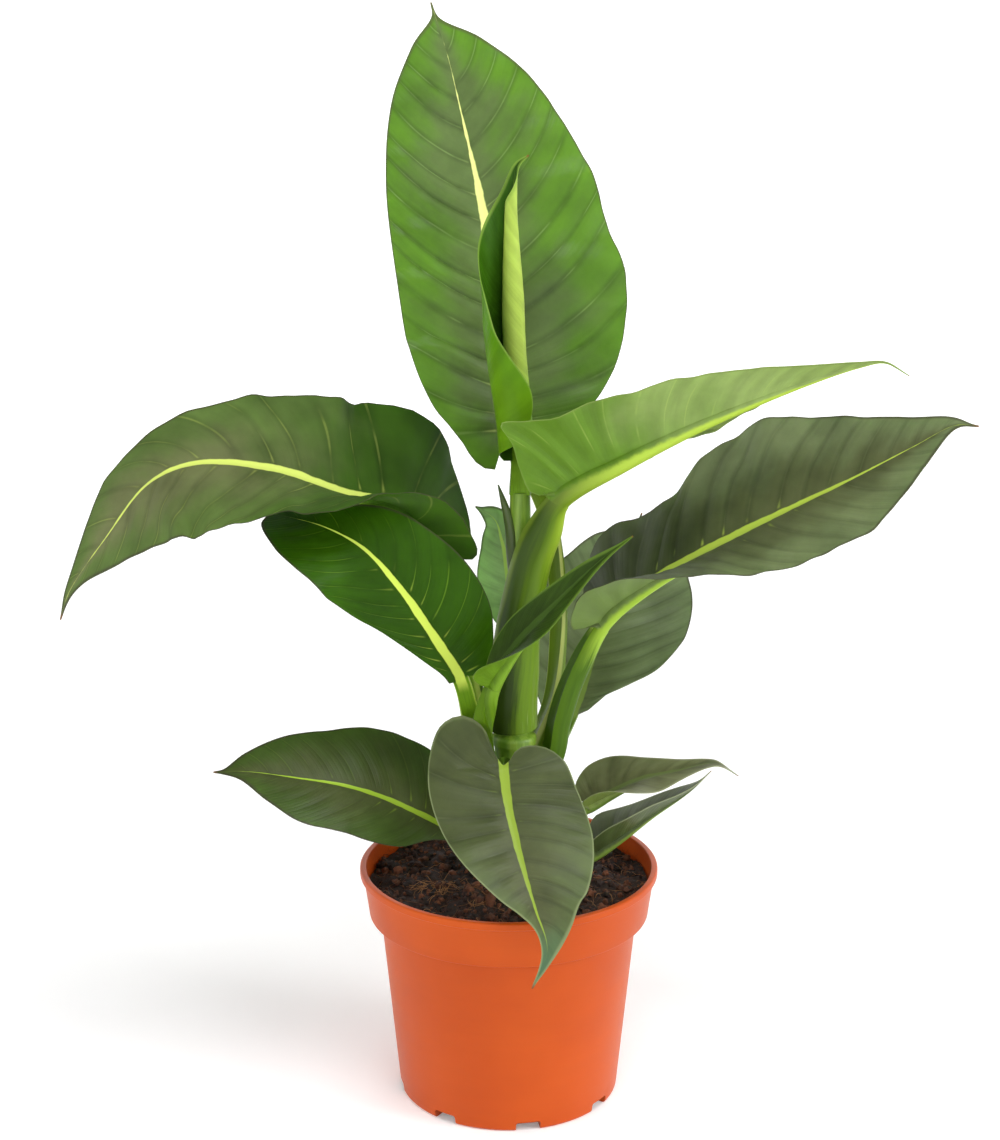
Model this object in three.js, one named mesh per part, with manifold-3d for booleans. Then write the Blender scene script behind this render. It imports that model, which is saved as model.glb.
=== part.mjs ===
// Potted dieffenbachia: a tapered plastic nursery pot, its soil, one main stem and thirteen leaves.
// Millimetres, +Z up, the pot's axis on Z, its flat base on z = 0, the front of the plant towards -Y.
import * as THREE from 'three';
import { mergeVertices } from 'three/addons/utils/BufferGeometryUtils.js';
import Module from 'manifold-3d';

const wasm = await Module();
wasm.setup();

// ---------------------------------------------------------------- driving dimensions
const GAP = 0.3;            // left open between neighbouring pieces
const ROOM = 0.5;           // how much larger than a piece the room cut for it in its neighbours is
const BLADE = 0.8;          // thickness of every leaf blade
const POT = {
  height: 136, wall: 1.5, base: 2,
  footRadius: 61, footRound: 3, bodyFoot: 63.3, bodyTop: 73.5,
  lipBottom: 108, lipFoot: 79.8, lipTop: 83, bead: 85, beadHeight: 4,
  sides: 48,
};
const DRAIN = { count: 8, first: -35, width: 14, height: 5.5, depth: 9, past: 11, under: 5 };
const SOIL = { edge: 122, mound: 3, sides: 32, rings: 5 };
const RIB_DEPTH = 1.3;      // depth of a leafstalk below its upper face, in half widths
const CHANNEL = 24;         // degrees that a leafstalk's upper face is folded up on each side
const RING_SPREAD = 1.8;    // how closely the veins crowd towards the leaf base
const STEADY = 0.07;        // the part of the midrib at its start over which the blade keeps one direction

// The main shoot: the middle line, and the radius at each point.
const SHOOT = {
  line: [
    [0, 0, 86], [0, 0, 124], [2, 0, 165], [3, 0, 205], [3, 0, 213], [3, 0, 217], [3, 0, 235],
    [5, -1, 280], [6, -1, 325], [6, 0, 352],
  ],
  radius: [9, 10, 10.5, 11, 12.5, 8.5, 8, 7, 6, 5.6],
  sides: 14,
  tip: { from: [2, -2, 322], to: [-6, 0, 358], radius: 4.5 },
};

// Each leaf: `spine` runs from the foot of the stalk to the tip of the blade, and point number `at` is
// where the blade begins. `rings` and `columns` say how finely the blade is cut into faces. `face` turns the
// upper face (base, middle, tip), `stalkFace` that of the stalk. `stalk` has its half widths, foot to blade.
// Each side has its margin as [along the midrib, out from it], and in degrees its fold up from the midrib and
// its downward curl over SPAN (base, middle, tip). `wave` is the height of the margin's waves and their number
// on the left and on the right.
const SPAN = 50;            // the width of half a blade over which its curl is given
const COLUMNS = 4;          // faces across half a blade, where a leaf doesn't say
const LEAVES = {
  leaf_crown: {
    spine: [
      [14, 12, 199], [25, 18, 228], [28, 19, 262], [27, 20, 298], [21, 22, 335], [8, 24, 364],
      [-1, 26, 377], [-4, 38, 437], [-14, 52, 499], [-28, 66, 560], [-34, 72, 584], [-43, 76, 612],
    ],
    at: 6, rings: 19, stalk: [5, 4.5, 4.5, 4],
    stalkFace: [[-1, -0.3, 0], [-0.6, -0.9, 0.1]],
    face: [[0.05, -0.95, 0.25], [0, -1, 0.15], [0.1, -1, 0.2]],
    left: {
      margin: [
        [-16, 8], [-12, 18], [8, 31], [24, 43], [52, 53], [112, 54], [153, 50], [193, 38], [225, 18],
      ],
      fold: [20, 18, 10], curl: [10, 14, 10],
    },
    right: {
      margin: [
        [-12, 12], [-6, 30], [20, 50], [48, 66], [81, 72], [114, 67], [148, 60], [194, 42], [219, 21],
      ],
      fold: [14, 8, 0], curl: [20, 18, 10],
    },
    wave: [1.6, 3, 4],
  },
  leaf_new: {
    spine: [
      [6, 0, 353], [6, 0, 372], [5, -2, 400], [3, -4, 436], [2, -6, 480], [2, -5, 515], [7, -3, 539],
    ],
    at: 1, rings: 15, columns: 8, stalk: [5.6, 5],
    stalkFace: [[0, -1, 0], [0, -1, 0]],
    face: [[0.1, -1, 0], [0, -1, 0], [-0.3, -1, 0.1]],
    left: {
      margin: [[-1, 9], [3, 26], [16, 48], [45, 52], [80, 40], [118, 23], [145, 7]],
      fold: [4, 4, 10], curl: [-215, -165, -110],
    },
    right: {
      margin: [[-1, 8], [3, 18], [18, 27], [60, 30], [100, 26], [136, 9]],
      fold: [4, 4, 10], curl: [-400, -480, -480],
    },
    wave: [0, 1, 1],
  },
  leaf_right_upper: {
    spine: [
      [3, 0, 218], [3, -2, 237], [6, -6, 283], [11, -12, 319], [18, -18, 341], [27, -24, 358],
      [59, -32, 378], [100, -40, 400], [151, -46, 422], [181, -48, 432], [194, -48, 434],
      [207, -48, 427],
    ],
    at: 5, rings: 18, stalk: [13.5, 13.5, 11.5, 10.5, 10, 6],
    stalkFace: [[-0.4, 0.9, 0], [-0.5, 0.8, 0.1], [-0.6, 0.6, 0.4]],
    face: [[-0.5, 0.45, 0.8], [-0.25, 0.4, 0.9], [-0.1, 0.2, 1]],
    left: {
      margin: [[-12, 11], [-10, 28], [10, 44], [45, 50], [90, 44], [130, 32], [165, 18], [188, 8]],
      fold: [22, 14, 8], curl: [20, 20, 20],
    },
    right: {
      margin: [
        [-11, 10], [-9, 27], [2, 50], [17, 54], [40, 49], [76, 42], [94, 36], [124, 25], [159, 12],
      ],
      fold: [48, 40, 20], curl: [20, 20, 10],
    },
    wave: [2, 4, 5],
  },
  leaf_right_big: {
    spine: [
      [12, 5, 172], [25, 4, 200], [28, 3, 222], [35, 2, 248], [51, 0, 280], [72, -4, 300],
      [126, -12, 334], [183, -22, 366], [215, -30, 386], [235, -34, 398], [247, -36, 398],
    ],
    at: 4, rings: 19, stalk: [8, 7, 7, 6.5, 5],
    stalkFace: [[-1, -0.3, 0.2], [-0.8, -0.3, 0.6]],
    face: [[-0.3, -0.25, 0.9], [-0.15, -0.5, 0.85], [-0.1, -0.6, 0.8]],
    left: {
      margin: [
        [-9, 12], [-6, 32], [4, 52], [24, 60], [50, 49], [68, 48], [88, 60], [118, 63], [150, 51],
        [181, 31], [218, 8],
      ],
      fold: [10, 16, 8], curl: [0, 10, 10],
    },
    right: {
      margin: [
        [-12, 12], [-6, 25], [12, 38], [40, 41], [69, 40], [99, 40], [120, 45], [158, 42], [184, 30],
        [206, 12],
      ],
      fold: [70, 14, 8], curl: [30, 20, 20],
    },
    wave: [1.6, 4, 4],
  },
  leaf_left_big: {
    spine: [
      [-7, 5, 170], [-13, 7, 200], [-18, 7, 235], [-27, 5, 285], [-42, -2, 327], [-61, -12, 349],
      [-88, -20, 358], [-125, -28, 373], [-167, -32, 377], [-191, -34, 367], [-216, -34, 336],
      [-237, -32, 306], [-243, -30, 290],
    ],
    at: 4, rings: 20, stalk: [5, 5, 5, 4.5],
    stalkFace: [[1, 0, 0.1], [0.9, -0.2, 0.4]],
    face: [[0.1, -0.4, 0.9], [-0.1, -0.6, 0.75], [-0.6, -0.6, 0.5]],
    left: {
      margin: [
        [-20, 10], [-18, 20], [0, 30], [24, 34], [60, 38], [104, 42], [147, 51], [180, 41], [208, 24],
        [236, 7],
      ],
      fold: [70, 15, 0], curl: [10, 20, 10],
    },
    right: {
      margin: [
        [-28, 10], [-26, 28], [-8, 54], [18, 69], [50, 66], [83, 54], [120, 43], [160, 27], [206, 19],
        [240, 6],
      ],
      fold: [16, 12, 10], curl: [0, 10, 10],
    },
    wave: [1.8, 3, 4],
  },
  leaf_left_lower: {
    spine: [
      [-11, -4, 168], [-17, -10, 198], [-21, -16, 228], [-27, -24, 255], [-38, -30, 276],
      [-59, -36, 310], [-78, -34, 331], [-98, -29, 341], [-116, -20, 344], [-131, -12, 345],
    ],
    at: 3, rings: 15, stalk: [5, 5, 4.5],
    stalkFace: [[1, -0.2, 0], [0.2, -0.8, 0.4]],
    face: [[-0.2, -0.8, 0.6], [-0.2, -0.75, 0.6], [-0.1, -0.5, 0.85]],
    left: {
      margin: [[-2, 6], [8, 8], [24, 13], [50, 22], [75, 31], [100, 34], [130, 27], [152, 10]],
      fold: [12, 8, 8], curl: [10, 10, 0],
    },
    right: {
      margin: [[-5, 11], [4, 21], [26, 34], [53, 37], [85, 30], [112, 18], [142, 6]],
      fold: [12, 8, -4], curl: [10, 10, 0],
    },
    wave: [0.8, 3, 2],
  },
  leaf_small_front: {
    spine: [
      [-7, -13, 178], [-13, -19, 204], [-15, -24, 225], [-13, -28, 241], [-10, -33, 254],
      [-2, -37, 269], [8, -41, 284], [27, -45, 306], [48, -48, 328], [65, -50, 342],
    ],
    at: 4, rings: 14, stalk: [5, 5.5, 4.4],
    stalkFace: [[1, 0, 0], [0.2, -0.6, 0.5]],
    face: [[-0.4, -0.5, 0.7], [-0.4, -0.5, 0.7], [-0.4, -0.5, 0.7]],
    left: {
      margin: [[2, 7], [14, 12], [32, 15], [48, 14], [66, 11], [86, 7]],
      fold: [20, 10, 10], curl: [10, 0, 0],
    },
    right: {
      margin: [[0, 7], [6, 15], [20, 19], [40, 15], [60, 11], [84, 6]],
      fold: [75, 5, 5], curl: [10, 0, 0],
    },
    wave: [0.4, 2, 2],
  },
  leaf_front: {
    spine: [
      [2, -8, 146], [0, -19, 176], [-2, -32, 203], [-3, -40, 210], [-1, -52, 194], [4, -69, 176],
      [9, -84, 162], [14, -96, 149], [20, -104, 130], [12, -107, 109],
    ],
    at: 3, rings: 17, stalk: [5.5, 5, 4.2],
    stalkFace: [[0, 1, 0.1], [0, 0.5, 0.9]],
    face: [[-0.1, -0.8, 0.6], [0, -0.8, 0.6], [0, -0.95, 0.3]],
    left: {
      margin: [[-8, 8], [-8, 22], [1, 33], [24, 39], [41, 41], [62, 39], [81, 31], [96, 18], [109, 5]],
      fold: [5, 8, 10], curl: [20, 20, 0],
    },
    right: {
      margin: [
        [-22, 9], [-30, 20], [-26, 32], [-10, 40], [8, 42], [27, 39], [51, 31], [75, 17], [92, 5],
        [108, 3],
      ],
      fold: [5, 8, 10], curl: [10, 10, 0],
    },
    wave: [0.8, 3, 3],
  },
  leaf_left_foot: {
    spine: [
      [-6, 3, 132], [-18, 0, 146], [-34, -8, 160], [-53, -12, 172], [-73, -16, 183], [-93, -18, 190],
      [-117, -18, 194], [-147, -18, 198], [-165, -16, 197],
    ],
    at: 2, rings: 14, stalk: [4.5, 4, 4],
    stalkFace: [[0.5, 0, 0.8], [0.2, -0.5, 0.8]],
    face: [[0.1, -0.65, 0.75], [0, -0.6, 0.8], [-0.1, -0.5, 0.8]],
    left: {
      margin: [[-3, 6], [8, 12], [27, 26], [45, 30], [66, 30], [88, 28], [108, 18], [124, 6]],
      fold: [10, 8, 5], curl: [10, 20, 10],
    },
    right: {
      margin: [[-6, 10], [2, 24], [22, 38], [42, 41], [60, 39], [84, 32], [105, 25], [124, 12]],
      fold: [10, 8, 5], curl: [10, 10, 10],
    },
    wave: [0.6, 3, 3],
  },
  leaf_right_foot: {
    spine: [
      [9, 8, 150], [27, 8, 161], [45, 8, 168], [59, 10, 175], [75, 12, 182], [98, 14, 187],
      [113, 16, 190], [120, 16, 190], [132, 18, 182],
    ],
    at: 2, rings: 12, stalk: [4.5, 4, 3.6],
    stalkFace: [[-0.6, 0, 0.8], [-0.3, -0.2, 0.9]],
    face: [[-0.2, -0.2, 0.9], [-0.1, -0.25, 0.95], [-0.1, -0.1, 1]],
    left: {
      margin: [[-4, 8], [0, 18], [10, 25], [22, 25], [40, 15], [60, 8], [76, 4]],
      fold: [22, 18, 5], curl: [10, 20, 10],
    },
    right: {
      margin: [[-4, 7], [0, 15], [16, 22], [40, 17], [60, 8], [76, 4]],
      fold: [55, 2, 0], curl: [10, 10, 10],
    },
    wave: [0.5, 2, 2],
  },
  leaf_right_low: {
    spine: [
      [10, 3, 140], [28, 4, 134], [47, 5, 139], [64, 7, 149], [81, 9, 161], [104, 11, 176],
      [116, 13, 187],
    ],
    at: 2, rings: 12, stalk: [4, 4, 3.6],
    stalkFace: [[-0.4, 0, 0.9], [-0.3, 0, 0.9]],
    face: [[-0.3, 0, 0.9], [-0.4, 0.1, 0.95], [-0.4, 0.1, 0.9]],
    left: {
      margin: [[-2, 9], [4, 22], [14, 31], [28, 27], [43, 19], [64, 12]],
      fold: [20, 20, 5], curl: [10, 20, 10],
    },
    right: {
      margin: [[-4, 6], [0, 14], [20, 21], [42, 16], [64, 8]],
      fold: [50, 35, 20], curl: [0, 0, 0],
    },
    wave: [0.4, 2, 2],
  },
  leaf_right_back: {
    spine: [
      [9, 14, 160], [24, 28, 190], [37, 44, 212], [47, 62, 235], [57, 84, 259], [69, 112, 279],
      [78, 136, 298], [82, 142, 307],
    ],
    at: 2, rings: 15, stalk: [5, 4.5, 4],
    stalkFace: [[-0.5, -0.6, 0.3], [-0.2, -0.8, 0.4]],
    face: [[-0.1, -0.9, 0.5], [-0.1, -0.8, 0.6], [0, -0.7, 0.7]],
    left: {
      margin: [[-8, 11], [6, 25], [40, 38], [80, 40], [120, 24]],
      fold: [10, 8, 8], curl: [0, 10, 10],
    },
    right: {
      margin: [[0, 6], [9, 12], [22, 21], [38, 41], [55, 49], [76, 50], [100, 43], [125, 24]],
      fold: [10, 8, 8], curl: [0, 10, 10],
    },
    wave: [0.8, 3, 4],
  },
  leaf_left_back: {
    spine: [
      [0, 10, 200], [5, 20, 235], [2, 29, 275], [0, 34, 297], [-4, 38, 317], [-8, 42, 328],
      [-19, 44, 335],
    ],
    at: 2, rings: 12, stalk: [4.5, 4, 3.4],
    stalkFace: [[-0.3, -0.9, 0.1], [-0.1, -0.9, 0.2]],
    face: [[-0.1, -0.95, 0.2], [-0.2, -0.95, 0.1], [-0.3, -0.9, 0.1]],
    left: {
      margin: [[-5, 8], [6, 14], [24, 18], [44, 12], [60, 5]],
      fold: [10, 8, 8], curl: [10, 10, 10],
    },
    right: {
      margin: [[-5, 8], [6, 14], [24, 18], [44, 13], [60, 6]],
      fold: [10, 8, 8], curl: [10, 10, 10],
    },
    wave: [0.4, 2, 2],
  },
};

// ---------------------------------------------------------------- materials
function material(name, color, roughness) {
  return new THREE.MeshStandardMaterial({ name, color, roughness, metalness: 0 });
}

const MATERIALS = {
  pot_plastic: () => material('pot_plastic', 0xd2602c, 0.45),
  soil: () => material('soil', 0x3a241a, 0.95),
  stem: () => material('stem', 0x6f9a34, 0.5),
  leaf_young: () => material('leaf_young', 0x4f8f22, 0.4),
  leaf_old: () => material('leaf_old', 0x43593a, 0.5),
};

// ---------------------------------------------------------------- solids
function fromArrays(points, faces) {
  return new wasm.Manifold(new wasm.Mesh({
    numProp: 3,
    vertProperties: new Float32Array(points.flat()),
    triVerts: new Uint32Array(faces.flat()),
  }));
}

function toMesh(name, solid, makeMaterial) {
  const data = solid.getMesh();
  const geometry = new THREE.BufferGeometry();
  geometry.setAttribute('position', new THREE.BufferAttribute(new Float32Array(data.vertProperties), 3));
  geometry.setIndex(new THREE.BufferAttribute(new Uint32Array(data.triVerts), 1));
  geometry.computeVertexNormals();
  const mesh = new THREE.Mesh(geometry, makeMaterial());
  mesh.name = name;
  return mesh;
}

// A cut can leave a chip of a stalk on the far side of the shoot; only the main body is the leaf.
function largest(solid) {
  return solid.decompose().reduce((best, body) => (body.volume() > best.volume() ? body : best));
}

// The solid inside a closed geometry: corners that share a place are merged, and triangles without area
// dropped.
function toSolid(geometry) {
  geometry.deleteAttribute('normal');
  geometry.deleteAttribute('uv');
  const merged = mergeVertices(geometry, 1e-4);
  const index = merged.getIndex().array;
  const faces = [];
  for (let i = 0; i < index.length; i += 3) {
    const [a, b, c] = index.slice(i, i + 3);
    if (a !== b && b !== c && c !== a) faces.push(a, b, c);
  }
  return new wasm.Manifold(new wasm.Mesh({
    numProp: 3,
    vertProperties: new Float32Array(merged.getAttribute('position').array),
    triVerts: new Uint32Array(faces),
  }));
}

// A solid of revolution about Z, from an outline of [radius, height] points that starts and ends on the
// axis.
function turned(outline, sides) {
  const profile = outline.map(([radius, height]) => new THREE.Vector2(radius, height));
  return toSolid(new THREE.LatheGeometry(profile, sides).rotateX(Math.PI / 2));
}

// ---------------------------------------------------------------- lines and easing
const PER_SPAN = 24;

// A smooth line through the points, as closely spaced points and the distance along it at each.
function smoothLine(points) {
  const nodes = points.map(([x, y, z = 0]) => new THREE.Vector3(x, y, z));
  const curve = new THREE.CatmullRomCurve3(nodes, false, 'centripetal');
  const count = (points.length - 1) * PER_SPAN;
  const line = [];
  const run = [0];
  for (let i = 0; i <= count; i += 1) {
    line.push(curve.getPoint(i / count));
    if (i > 0) run.push(run[i - 1] + line[i].distanceTo(line[i - 1]));
  }
  return { line, run, length: run[count] };
}

function pointAt(path, distance) {
  const s = Math.min(Math.max(distance, 0), path.length);
  let i = 1;
  while (i < path.run.length - 1 && path.run[i] < s) i += 1;
  const part = (s - path.run[i - 1]) / (path.run[i] - path.run[i - 1]);
  return path.line[i - 1].clone().lerp(path.line[i], part);
}

function directionAt(path, distance) {
  return pointAt(path, distance + 2).sub(pointAt(path, distance - 2)).normalize();
}

// Evenly spaced values, eased from one to the next; t runs from 0 to 1.
function eased(values, t) {
  const x = Math.min(Math.max(t, 0), 1) * (values.length - 1);
  const i = Math.min(Math.floor(x), values.length - 2);
  const f = x - i;
  const blend = f * f * (3 - 2 * f);
  if (Array.isArray(values[0])) return values[i].map((v, k) => v + (values[i + 1][k] - v) * blend);
  return values[i] + (values[i + 1] - values[i]) * blend;
}

const radians = (degrees) => (degrees * Math.PI) / 180;

// ---------------------------------------------------------------- leaves
// Along, out to the leaf's right and up from its upper face, at a distance from the foot of the stalk.
function frameAt(path, distance, faces, t) {
  const along = directionAt(path, distance);
  const up = new THREE.Vector3(...eased(faces, t)).normalize();
  const right = along.clone().cross(up).normalize();
  up.copy(right).cross(along);
  return { along, right, up };
}

function prepared(leaf) {
  const path = smoothLine(leaf.spine);
  const start = path.run[leaf.at * PER_SPAN];
  const length = path.length - start;
  const root = leaf.stalk[leaf.stalk.length - 1];
  const margin = (side) => smoothLine([[0, root], ...side.margin, [length, 0.5]]);
  const margins = { '-1': margin(leaf.left), 1: margin(leaf.right) };
  return { ...leaf, path, start, length, root, margins, columns: leaf.columns ?? COLUMNS };
}

// The upper face's normal where the blade or stalk rises outwards by `slope`.
function tilted(frame, slope, side) {
  const normal = frame.up.clone().multiplyScalar(Math.cos(slope));
  return normal.addScaledVector(frame.right, -side * Math.sin(slope));
}

// A point of the blade, `a` along the midrib and `b` out from it, and the normal of its upper face there.
// The lobes behind the midrib's start keep the frame of the place STEADY of the way along it.
function bladePoint(leaf, a, b, side) {
  const half = side < 0 ? leaf.left : leaf.right;
  const t = Math.min(Math.max(a / leaf.length, 0), 1);
  const inner = Math.min(Math.max(a, STEADY * leaf.length), leaf.length);
  const frame = frameAt(leaf.path, leaf.start + inner, leaf.face, t);
  const centre = pointAt(leaf.path, leaf.start + Math.max(a, 0));
  centre.addScaledVector(frame.along, Math.min(a, 0));
  const fold = radians(eased(half.fold, t));
  const curl = radians(eased(half.curl, t)) || 1e-3;
  const slope = fold - (curl * b) / SPAN;
  const out = (SPAN / curl) * (Math.sin(fold) - Math.sin(slope));
  const rise = (SPAN / curl) * (Math.cos(slope) - Math.cos(fold));
  const [height, onLeft, onRight] = leaf.wave;
  const fade = Math.sqrt(Math.sin(Math.PI * (0.02 + 0.96 * t)));
  const turns = ((side < 0 ? onLeft : onRight) * a) / leaf.length;
  const wave = height * (b / SPAN) ** 2 * fade * Math.sin(2 * Math.PI * turns);
  const normal = tilted(frame, slope, side);
  const point = centre.addScaledVector(frame.right, side * out).addScaledVector(frame.up, rise);
  return { point: point.addScaledVector(normal, wave), normal, up: frame.up };
}

// Places across one half, from the midrib (0) to the margin (1).
function acrossSteps(columns) {
  const steps = [0, 0.08];
  for (let k = 2; k <= columns; k += 1) steps.push(0.08 + (0.92 * (k - 1)) / (columns - 1));
  return steps;
}

// How deep the rib or stalk lies under the upper face, `b` out from its middle.
const ribDepth = (b, half, depth) => BLADE / 2 + depth * Math.sqrt(Math.max(0, 1 - (b / half) ** 2));

// One ring of the blade: its upper and lower points from the left margin to the right one. A ring follows
// the side veins, which leave the midrib behind the place where they meet the margin.
function bladeRing(leaf, u) {
  const rib = leaf.length * u ** RING_SPREAD;
  const t = rib / leaf.length;
  const half = leaf.root * (1 - 0.85 * t);
  const depth = RIB_DEPTH * leaf.root * (1 - t) ** 1.3;
  const ring = { upper: [], lower: [] };
  const add = (side, v) => {
    const edge = pointAt(leaf.margins[side], leaf.margins[side].length * u ** 0.9);
    const a = (1 - v) ** 2 * rib + 2 * v * (1 - v) * (rib + 0.3 * (edge.x - rib)) + v * v * edge.x;
    const b = 2 * v * (1 - v) * 0.6 * edge.y + v * v * edge.y;
    const { point, normal, up } = bladePoint(leaf, a, b, side);
    const outward = v === 0 ? up : normal;
    ring.upper.push(point.clone().addScaledVector(outward, BLADE / 2).toArray());
    ring.lower.push(point.clone().addScaledVector(outward, -ribDepth(b, half, depth)).toArray());
  };
  const steps = acrossSteps(leaf.columns);
  for (let k = leaf.columns; k > 0; k -= 1) add(-1, steps[k]);
  steps.forEach((step) => add(1, step));
  return ring;
}

// One ring of the stalk, channelled above and round beneath.
function stalkRing(leaf, s, grow) {
  const t = s / leaf.start;
  const half = eased(leaf.stalk, t) + grow;
  const frame = frameAt(leaf.path, s, [...leaf.stalkFace, leaf.face[0]], t);
  const lift = 0.55 * half * (1 - t * t * (3 - 2 * t));
  const centre = pointAt(leaf.path, s).addScaledVector(frame.up, lift + grow);
  const blend = t * t;
  const ring = { upper: [], lower: [] };
  const add = (side, v) => {
    const side0 = side < 0 ? leaf.left : leaf.right;
    const fold = radians(CHANNEL * (1 - blend) + side0.fold[0] * blend);
    const b = half * (2 * v * (1 - v) * 0.6 + v * v);
    const point = centre.clone().addScaledVector(frame.right, side * b * Math.cos(fold));
    point.addScaledVector(frame.up, b * Math.sin(fold));
    const normal = tilted(frame, fold * v, side);
    ring.upper.push(point.clone().addScaledVector(normal, BLADE / 2).toArray());
    ring.lower.push(point.clone().addScaledVector(normal, -ribDepth(b, half, RIB_DEPTH * half)).toArray());
  };
  const steps = acrossSteps(leaf.columns);
  for (let k = leaf.columns; k > 0; k -= 1) add(-1, steps[k]);
  steps.forEach((step) => add(1, step));
  return ring;
}

// A closed solid through rings of upper and lower points; both faces are split into triangles alike.
function loft(rings) {
  const width = rings[0].upper.length;
  const points = rings.flatMap((ring) => [...ring.upper, ...ring.lower]);
  const upper = (i, j) => i * 2 * width + j;
  const lower = (i, j) => upper(i, j) + width;
  const faces = [];
  const quad = (a, b, c, d) => faces.push([a, b, c], [a, c, d]);
  const last = rings.length - 1;
  const edge = width - 1;
  for (let i = 0; i < last; i += 1) {
    for (let j = 0; j < edge; j += 1) {
      quad(upper(i, j), upper(i, j + 1), upper(i + 1, j + 1), upper(i + 1, j));
      faces.push([lower(i, j), lower(i + 1, j + 1), lower(i, j + 1)]);
      faces.push([lower(i, j), lower(i + 1, j), lower(i + 1, j + 1)]);
    }
    quad(upper(i, edge), lower(i, edge), lower(i + 1, edge), upper(i + 1, edge));
    quad(upper(i, 0), upper(i + 1, 0), lower(i + 1, 0), lower(i, 0));
  }
  for (let j = 0; j < edge; j += 1) {
    quad(upper(0, j), lower(0, j), lower(0, j + 1), upper(0, j + 1));
    quad(upper(last, j), upper(last, j + 1), lower(last, j + 1), lower(last, j));
  }
  return fromArrays(points, faces);
}

const STALK_STEP = 16;      // distance between the rings of a stalk

function stalkRings(leaf, grow) {
  const count = Math.max(3, Math.round(leaf.start / STALK_STEP));
  const rings = [];
  for (let i = 0; i < count; i += 1) rings.push(stalkRing(leaf, (leaf.start * i) / count, grow));
  return rings;
}

function leafSolid(leaf) {
  const rings = stalkRings(leaf, 0);
  for (let i = 0; i < leaf.rings; i += 1) rings.push(bladeRing(leaf, i / (leaf.rings - 1)));
  return loft(rings);
}

// The stalk alone, grown on all sides and past its foot: the room that other pieces leave for it.
function stalkRoom(leaf) {
  const rings = stalkRings(leaf, 2 * ROOM);
  const back = directionAt(leaf.path, 0).multiplyScalar(-ROOM);
  const pushed = (points) => points.map((point) => new THREE.Vector3(...point).add(back).toArray());
  rings[0] = { upper: pushed(rings[0].upper), lower: pushed(rings[0].lower) };
  return loft(rings);
}

// ---------------------------------------------------------------- shoot
// A closed round solid through [centre, radius] rings, level in height.
function roundSolid(rings, sides) {
  const points = [];
  const faces = [];
  rings.forEach(([x, y, z, radius]) => {
    for (let j = 0; j < sides; j += 1) {
      const angle = (2 * Math.PI * j) / sides;
      points.push([x + radius * Math.cos(angle), y + radius * Math.sin(angle), z]);
    }
  });
  for (let i = 0; i < rings.length - 1; i += 1) {
    for (let j = 0; j < sides; j += 1) {
      const a = i * sides + j;
      const b = i * sides + ((j + 1) % sides);
      faces.push([a, b, b + sides], [a, b + sides, a + sides]);
    }
  }
  const top = (rings.length - 1) * sides;
  for (let j = 1; j < sides - 1; j += 1) faces.push([0, j + 1, j], [top, top + j, top + j + 1]);
  return fromArrays(points, faces);
}

// The main shoot, swollen at its node, with the pointed end of an old leaf sheath; `grow` makes it larger
// all round.
function shootSolid(grow) {
  const rings = SHOOT.line.map(([x, y, z], i) => [x, y, z, SHOOT.radius[i] + grow]);
  rings[0][2] -= grow;
  rings[rings.length - 1][2] += grow;
  const { from, to, radius } = SHOOT.tip;
  const tip = roundSolid([[...from, radius + grow], [...to, 0.4 + grow]], 6);
  return roundSolid(rings, SHOOT.sides).add(tip);
}

// ---------------------------------------------------------------- pot and soil
function potSolid() {
  const p = POT;
  const outline = [
    [0, 0], [p.footRadius, 0], [p.footRadius + 1.8, 1], [p.bodyFoot, p.footRound],
    [p.bodyTop, p.lipBottom], [p.lipFoot, p.lipBottom], [p.lipTop, p.height - p.beadHeight - 1],
    [p.bead, p.height - p.beadHeight], [p.bead, p.height - 0.6], [p.bead - 0.7, p.height],
    [p.lipTop - p.wall, p.height], [p.lipFoot - p.wall, p.lipBottom + p.wall],
    [p.bodyTop - p.wall, p.lipBottom + p.wall], [p.bodyFoot - p.wall, p.base + 2],
    [p.footRadius - p.wall, p.base], [0, p.base],
  ];
  let pot = turned(outline, p.sides);
  for (let i = 0; i < DRAIN.count; i += 1) {
    const angle = DRAIN.first + (360 / DRAIN.count) * i - 90;
    const [long, tall] = [DRAIN.depth + DRAIN.past, DRAIN.height + DRAIN.under];
    const notch = new THREE.BoxGeometry(long, DRAIN.width, tall);
    notch.translate(p.bodyFoot - DRAIN.depth + long / 2, 0, DRAIN.height - tall / 2);
    notch.rotateZ(radians(angle));
    pot = pot.subtract(toSolid(notch));
  }
  return pot;
}

// The height of the soil's surface: a low mound with shallow dips.
function soilHeight(x, y) {
  const r = Math.hypot(x, y) / 80;
  const dips = 0.7 * Math.sin(x / 9 + 1) * Math.cos(y / 11) + 0.5 * Math.sin((x + 2 * y) / 17);
  return SOIL.edge + SOIL.mound * (1 - r * r) + dips * (1 - r ** 6);
}

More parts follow.
